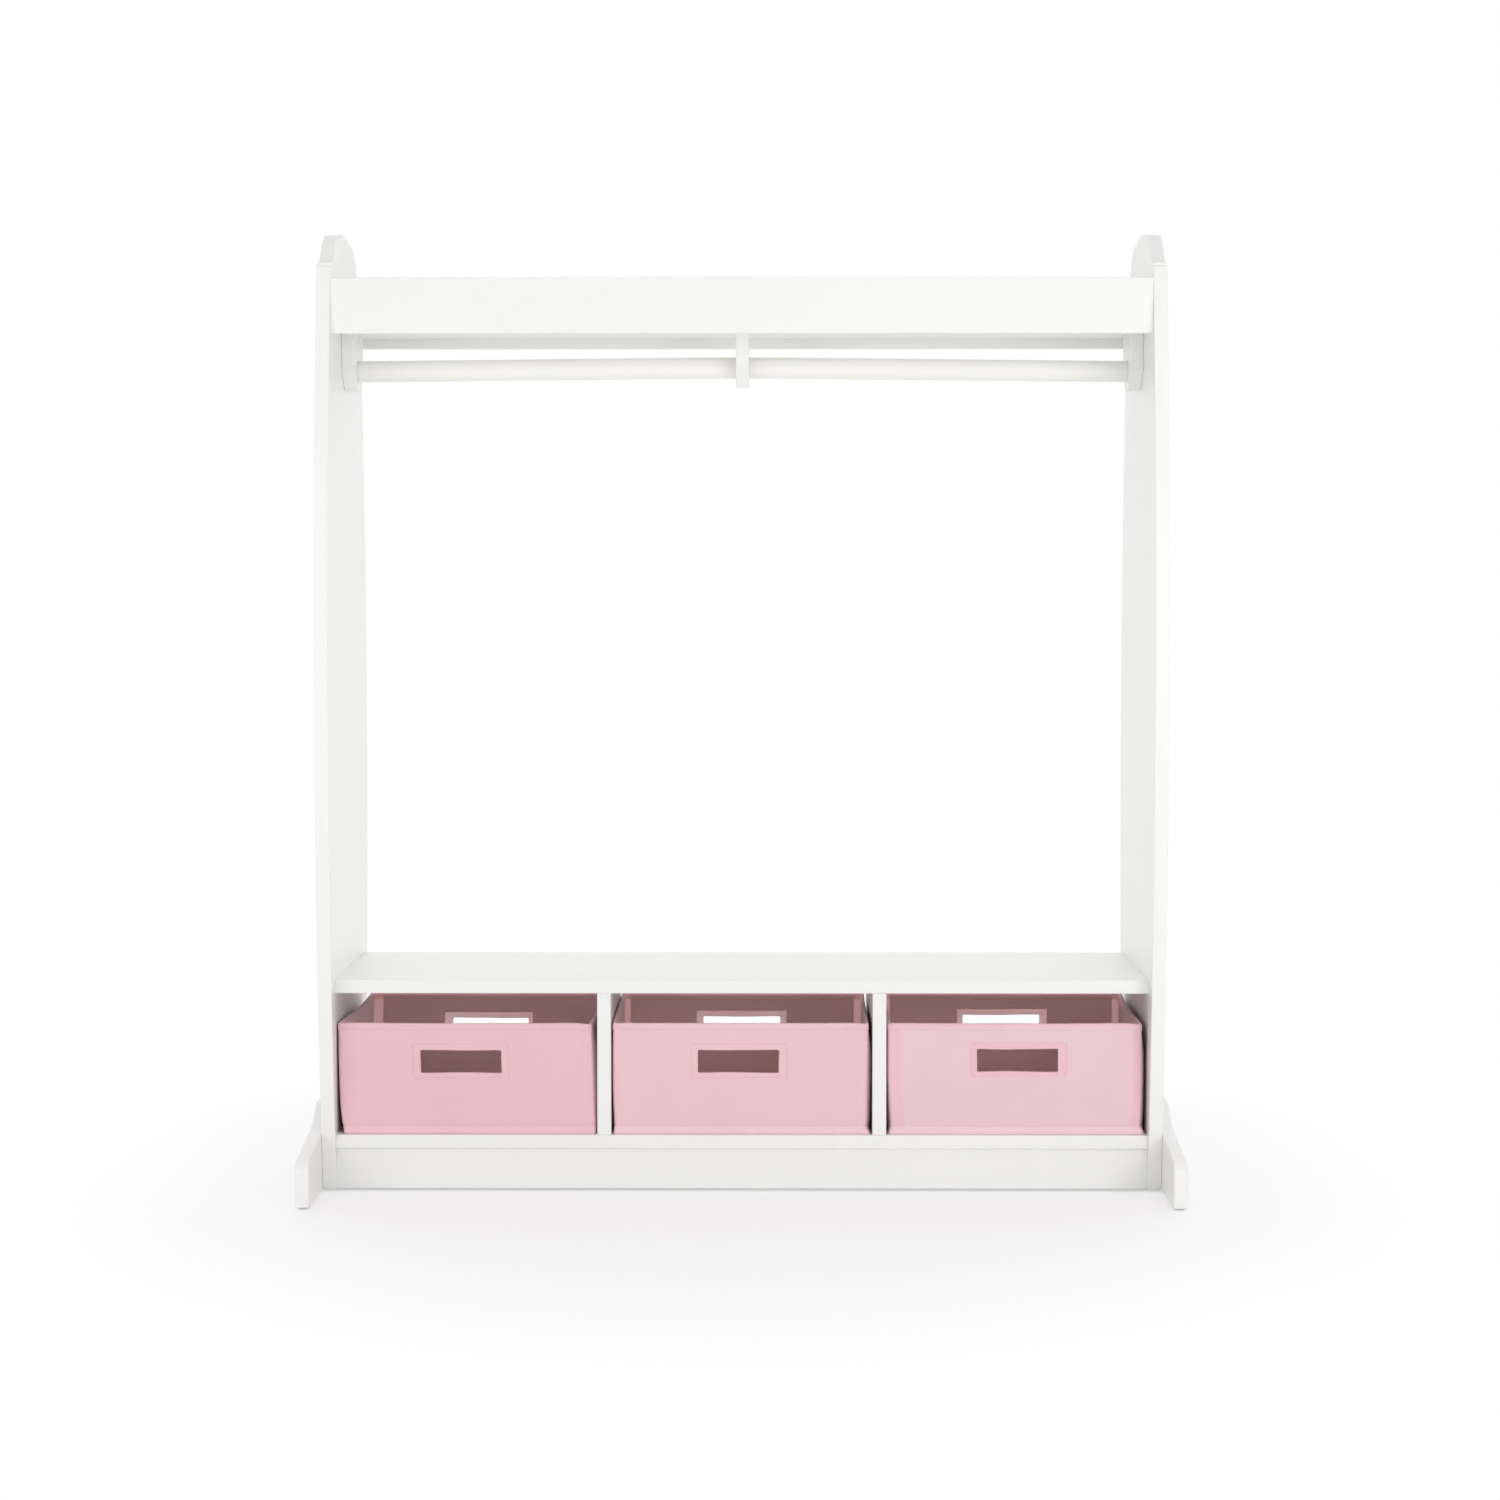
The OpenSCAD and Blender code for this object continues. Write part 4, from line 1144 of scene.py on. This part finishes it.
def cut_out_shift(s, z, shape):
    """How far cloth is moved along the wall and up because its cut-out is off centre.

    It is the whole shift at the cut-out and fades to nothing at the wall's ends, near the
    bottom seam and near the rim.
    """
    upright = smooth_step((z - 15 * MM) / (50 * MM)) * smooth_step((BIN_H - 6 * MM - z) / (22 * MM))
    along = up = 0.0
    for middle, way, hole in ((FRONT_MID, 1, "front_hole"), (BACK_MID, -1, "back_hole")):
        near = upright * smooth_step((FRONT_RUN / 2 - 12 * MM - np.abs(s - middle)) / (60 * MM))
        along = along + way * shape[hole][0] * MM * near
        up = up + shape[hole][1] * MM * near
    return along, up


def stand_up(s, z, low, shape, inner=False, lift=0.0):
    """Flat cloth to its place in the room. lift moves it off its own face, away from the card.

    The place is the path's point at that length, moved out along the path's normal by the dip,
    and then warped. The lining lies one wall further in and its heights shrink evenly from the
    rim to the floor, while the outer face turns in round the bottom edge by a quarter circle.
    """
    phases = np.random.default_rng(shape["seed"]).uniform(0, 2 * math.pi, 16)
    s = s % AROUND
    card = card_behind(s, z, shape)
    out = surface_dip(s, z, card, in_window(s, z, shape), phases, inner) + lift
    along, up = cut_out_shift(s, z, shape)
    height = z + up
    if inner:
        out = -WALL - out
        height = FLOOR_Z + height * (BIN_H - RIM_ROUND - FLOOR_Z) / (BIN_H - RIM_ROUND)
    else:
        under = np.clip(BOTTOM_ROUND - z, 0, BOTTOM_ROUND)
        out = out - (BOTTOM_ROUND - np.sqrt(BOTTOM_ROUND ** 2 - under ** 2))
    spot, normal = (np.stack([np.interp(s + along, path_s, table[:, k]) for k in (0, 1)], axis=-1)
                    for table in (path_xy, path_normal))
    size = np.hypot(normal[..., 0], normal[..., 1])
    middle = low[:2] + np.array([BIN_W, BIN_D]) / 2
    flat = middle + spot + out[..., None] * normal / size[..., None]
    return warp(np.dstack([flat[None], (low[2] + height)[None, ..., None]])[0], low, shape)

# %% [markdown]
# ## Sewing a bin together
# The outer face and the lining are the same flat pattern, stood up one wall's thickness apart.
# Half-round strips of cloth join them over the rim and through each cut-out, and two flat
# sheets close the floor, so a bin's cloth is one closed skin with nothing left open.

# %% The cloth of one bin
def turned_edge(outer, inner, away, steps=5):
    """Rings from an outer loop over a half round to an inner loop.

    Ring k is the mean of both loops, plus half their distance times the cosine of an angle
    along the wall's thickness and times its sine in the direction away.
    """
    angle = np.linspace(0, math.pi, steps + 2)[1:-1][:, None, None]
    half = (outer - inner) / 2
    reach = np.linalg.norm(half, axis=-1, keepdims=True)
    return (outer + inner) / 2 + half * np.cos(angle) + reach * away * np.sin(angle)


def store(piece, uv, **values):
    """Stores each face corner's flat place, in metres, and named numbers for each point."""
    layer = piece.data.uv_layers.new(name="flat_cloth")
    layer.data.foreach_set("uv", np.asarray(uv, np.float32).ravel())
    for name, numbers in values.items():
        layer = piece.data.attributes.new(name, "FLOAT", "POINT")
        layer.data.foreach_set("value", np.asarray(numbers, np.float32))


def sewn_bin(body, low, shape):
    """The closed cloth skin of one bin, with its flat pattern, its card and its bound edge."""
    windows = window_middles(shape)
    front, back = np.array(shape["hinges"]) * MM, np.array(shape["back_hinges"][::-1]) * MM
    sides = (SIDE_HINGE, SIDE_HINGE)
    columns = sorted_once([run_columns(0.0, SIDE_RUN, sides),
                           run_columns(FRONT_START, FRONT_RUN, front, windows[0][1]),
                           run_columns(RIGHT_START, SIDE_RUN, sides),
                           run_columns(BACK_START, FRONT_RUN, back, windows[1][1])])
    flat, quads, loops = flat_cloth(columns, windows)
    s, z = flat.T
    count = len(flat)
    outer, inner = (stand_up(s, z, low, shape, lined) for lined in (False, True))
    card = card_behind(s, z, shape)
    rise = np.array([0, 6 * MM])
    points, cards, total = [outer, inner], [card, card], 2 * count
    cloths = [flat, np.stack([s, BIN_H * 2 + rise[1] - z], axis=-1)]
    faces = [quads, quads[:, ::-1] + count]
    foot = np.arange(len(columns))
    edges = [(foot + (len(rows_z) - 1) * len(columns), UP)]
    edges += [(hole, unit(outer[hole] - outer[before])) for before, hole in loops]
    for loop, away in edges:
        rings = turned_edge(outer[loop], inner[loop], away)
        numbers = total + numbered(rings)
        faces.append(loop_faces(np.concatenate([loop[None], numbers, loop[None] + count])))
        share = np.linspace(0, 1, len(rings) + 2)[1:-1][:, None, None]
        cloths.append((flat[loop] + share * rise).reshape(-1, 2))
        points.append(rings.reshape(-1, 3))
        cards.append(np.zeros(numbers.size))
        total += numbers.size
    points, cloths, cards, faces = (np.concatenate(p) for p in (points, cloths, cards, faces))
    piece = make_piece(body + "_cloth", points, faces, [foot[::-1], foot + count], crease=60)

    corner_uv = cloths[faces]
    wraps = np.ptp(corner_uv[:, :, 0], axis=1) > AROUND / 2
    corner_uv[:, :, 0] += np.where(wraps[:, None] & (corner_uv[:, :, 0] < AROUND / 2), AROUND, 0)
    cap_uv = np.concatenate([points[foot[::-1], :2], points[foot + count, :2]])
    store(piece, np.concatenate([corner_uv.reshape(-1, 2), cap_uv]), card=cards,
          bound=1 - smooth_step((cloths[:, 1] - SEAM_Z) / (1.0 * MM) + 0.5))
    at_back = np.abs(nearest_turn(corner_uv[:, :, 0].mean(axis=1) - BACK_MID)) < (
        FRONT_RUN / 2 + 8 * MM)
    above_seam = corner_uv[:, :, 1].min(axis=1) > SEAM_Z
    kind = np.zeros(len(faces) + 2, dtype=np.int32)
    kind[len(quads): 2 * len(quads)] = 1
    kind[-1] = 1
    kind[: len(faces)] += 2 * (at_back & above_seam & (cards[faces].mean(axis=1) < 0.5))
    canvas, thin_canvas = canvases[body]
    dress(piece, [canvas, lining, thin_canvas, thin_lining], body, "pink_cloth",
          body + "_cover", body + "_stiffeners")
    piece.data.polygons.foreach_set("material_index", kind)
    print(body, "cloth faces:", len(kind))

# %% [markdown]
# ## Stitches and the base board
# A stitch is a short thread lying on the cloth: an ellipse carried round its own length. One
# row runs below the rim on both faces, and one frames each cut-out. The base board is card
# covered with the lining, loose on the floor of the bin: a thin loop with softened edges.

# %% Rows of stitches
STITCH_PITCH = 3.9 * MM
STITCH_LENGTH = 3.0 * MM
THREAD_RADIUS = 0.34 * MM


def evenly(length):
    """Middles of the whole number of stitches that fit in a length."""
    count = int(length / STITCH_PITCH)
    return (np.arange(count) + 0.5) * length / count


def stitch_row(s, z, low, shape, inner):
    """Middles, directions along the row and outward normals of the stitches at flat places."""
    small, lift = 0.5 * MM, 0.12 * MM
    ahead = nearest_turn(np.roll(s, -1) - np.roll(s, 1))
    climb = np.roll(z, -1) - np.roll(z, 1)
    size = np.hypot(ahead, climb)
    ds, dz = small * ahead / size, small * climb / size
    middle = stand_up(s, z, low, shape, inner, lift)
    along = unit(stand_up(s + ds, z + dz, low, shape, inner, lift)
                 - stand_up(s - ds, z - dz, low, shape, inner, lift))
    off = stand_up(s, z, low, shape, inner, lift + small) - middle
    return middle, along, unit(off - along * (off * along).sum(axis=1, keepdims=True))


def frame_row(middle, grow):
    """Evenly spaced flat places round a window, a fixed distance outside its edge."""
    corners = SQUARE[[0, 1, 2, 3, 0]] * (WINDOW_HALF + grow)
    ends = np.concatenate([[0], np.cumsum(np.abs(np.diff(corners, axis=0)).sum(axis=1))])
    s, z = (np.interp(evenly(ends[-1]), ends, column) for column in corners.T)
    return middle + s, WINDOW_Z + z


def stitches(body, low, shape):
    """Every stitch of a bin in one mesh: an ellipse of six sides swept along each stitch."""
    hem_s = evenly(AROUND)
    rows = [(hem_s, np.full(len(hem_s), BIN_H - HEM + 2.2 * MM))]
    rows += [frame_row(window, 1.4 * MM) for _, window in window_middles(shape)]
    found = [stitch_row(s, z, low, shape, inner) for s, z in rows for inner in (False, True)]
    middle, along, off = (np.concatenate(part)[:, None, None, :] for part in zip(*found))
    side = np.cross(along, off)
    lengthwise = np.radians([158, 125, 90, 55, 22])[:, None, None]
    around = np.radians(np.arange(0, 360, 60))[:, None]
    points = (middle + np.cos(lengthwise) * STITCH_LENGTH / 2 * along
              + np.sin(lengthwise) * THREAD_RADIUS
              * (np.cos(around) * side + np.sin(around) * off * 0.8))
    numbers = numbered(points)
    quads = np.concatenate([loop_faces(stitch)[:, ::-1] for stitch in numbers])
    caps = np.concatenate([numbers[:, 0], numbers[:, -1, ::-1]])
    piece = make_piece(body + "_stitches", points, quads, caps, crease=80)
    dress(piece, [thread], body, "pink_cloth")

# %% Base boards
def base_board(body, low, high, shape):
    """A loose card: rounded rectangles at rising heights, the first and last drawn in a little."""
    thick, soft, round_corner = 3 * MM, 0.6 * MM, 3 * MM
    bottom = low[2] + (FLOOR_Z + 0.2 * MM)
    half = np.array([BIN_W, BIN_D]) / 2 - (WALL + 1.2 * MM)
    run = sorted_once([spread(0, 1, 1 / 24)])[:-1, None]
    corners = SQUARE[[3, 0, 1, 2, 3]]
    square = np.concatenate([corners[k] + run * (corners[k + 1] - corners[k]) for k in range(4)])
    drawn_in = np.array([soft, 0.25 * soft, 0, 0, 0.25 * soft, soft])
    heights = np.array([0, 0.25 * soft, soft, thick - soft, thick - 0.25 * soft, thick])
    loops = [(low[:2] + high[:2]) / 2 + rounded(square * (half - d), half - d, round_corner)
             for d in drawn_in]
    points, quads, caps = closed(warp(carried(np.array(loops), "z", bottom + heights), low, shape))
    board = make_piece(body + "_base_card", points, quads, caps)
    store(board, points[np.concatenate([quads.ravel(), *caps]), :2], card=np.ones(len(points)))
    dress(board, [lining], body, "pink_cloth", body + "_base")

# %% Make the three bins
for body, shape in BIN_SHAPES.items():
    low, high = box(body + "_cover")
    sewn_bin(body, low, shape)
    stitches(body, low, shape)
    base_board(body, low, high, shape)

# %% [markdown]
# ## Floor, light and background
# The photograph is a high-key studio picture: white floor, white background, and only a faint
# soft shadow before and to the left of the unit. A pale floor takes the shadow, and what the
# camera sees of it is lifted to white further out. What camera, mirror and gloss see of the room
# is plain white. The light itself is dimmer and comes from an even sky that is brighter to the
# rear, and from three large low lamps in front, so no white board is brighter than its paint.
# Their strengths were found by rendering each light alone and fitting the sum to the photograph.

# %% Floor
def seen_directly(tree):
    """1 for rays from the camera, a reflection or clear glass, 0 for the light on the object."""
    rays = add(tree, "LightPath")
    return maths(tree, "MAXIMUM", rays["Is Camera Ray"],
                 maths(tree, "MAXIMUM", rays["Is Glossy Ray"], rays["Is Transmission Ray"]))


FLOOR_SIZE = 40.0
SHADOW_SHARE = 0.6
LIFT = 0.46
floor_mesh = bpy.data.meshes.new("floor")
corners = np.pad(SQUARE * FLOOR_SIZE / 2, ((0, 0), (0, 1)))
floor_mesh.from_pydata(corners.tolist(), [], [[0, 1, 2, 3]])
floor = bpy.data.objects.new("floor", floor_mesh)
bpy.context.collection.objects.link(floor)
floor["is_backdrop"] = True

floor_paper = bpy.data.materials.new("floor_paper")
floor_paper.use_nodes = True
tree = floor_paper.node_tree
tree.nodes.clear()
matt = add(tree, "BsdfDiffuse", {"Color": (0.90, 0.90, 0.90, 1)})[0]
shaded = (0.90 * SHADOW_SHARE, 0.885 * SHADOW_SHARE, 0.91 * SHADOW_SHARE, 1)
paper = add(tree, "BsdfDiffuse", {"Color": shaded})[0]
lift = add(tree, "Emission", {"Color": WHITE, "Strength": LIFT})[0]
lifted = add(tree, "AddShader", {0: paper, 1: lift})[0]
white = add(tree, "Emission", {"Color": WHITE, "Strength": 1.0})[0]
flatter = add(tree, "VectorMath", {0: add(tree, "TexCoord")["Object"], 1: (1.3, 1.0, 1.0)},
              operation="MULTIPLY")[0]
distance = add(tree, "VectorMath", {0: flatter}, operation="LENGTH")["Value"]
far = add(tree, "MapRange", {"Value": distance, "From Min": 0.6, "From Max": 1.3},
          interpolation_type="SMOOTHSTEP")[0]
seen = add(tree, "MixShader", {0: far, 1: lifted, 2: white})[0]
add(tree, "OutputMaterial",
    {0: add(tree, "MixShader", {0: seen_directly(tree), 1: matt, 2: seen})[0]})
floor_mesh.materials.append(floor_paper)
print("floor:", FLOOR_SIZE, "m")

# %% World
SKY = 0.69
REAR_GLOW = 1.3
world = bpy.data.worlds.new("studio")
bpy.context.scene.world = world
world.use_nodes = True
tree = world.node_tree
tree.nodes.clear()
heading = add(tree, "SeparateXYZ", {0: add(tree, "TexCoord")["Generated"]})
rearwards = maths(tree, "MAXIMUM", heading["Y"], 0.0)
level = maths(tree, "MULTIPLY_ADD", maths(tree, "MULTIPLY", rearwards, rearwards), REAR_GLOW, SKY)
dim = add(tree, "Background", {"Color": (1.0, 1.0, 0.995, 1), "Strength": level})[0]
bright = add(tree, "Background", {"Color": WHITE, "Strength": 1.0})[0]
add(tree, "OutputWorld",
    {0: add(tree, "MixShader", {0: seen_directly(tree), 1: dim, 2: bright})[0]})
print("sky:", SKY)

# %% Lamps
# Each is a large square that the camera doesn't see, turned towards a point.
for name, spot, aim, side, watts in (
        ("right_lamp", (1.6, -3.2, 1.2), (0, 0, 0.5), 1.1, 9.8),
        ("low_right_lamp", (1.6, -2.6, 0.7), (0, 0, 0.6), 1.4, 9.7),
        ("low_left_lamp", (-1.6, -2.6, 0.7), (0, 0, 0.6), 1.4, 10)):
    data = bpy.data.lights.new(name, "AREA")
    data.shape = "SQUARE"
    data.size = side
    data.energy = watts
    lamp = bpy.data.objects.new(name, data)
    bpy.context.collection.objects.link(lamp)
    lamp.location = spot
    lamp.rotation_euler = (Vector(spot) - Vector(aim)).to_track_quat("Z", "Y").to_euler()
    lamp.visible_camera = False
    print(name, watts, "W")

# %% Sizes and finish
low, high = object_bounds()
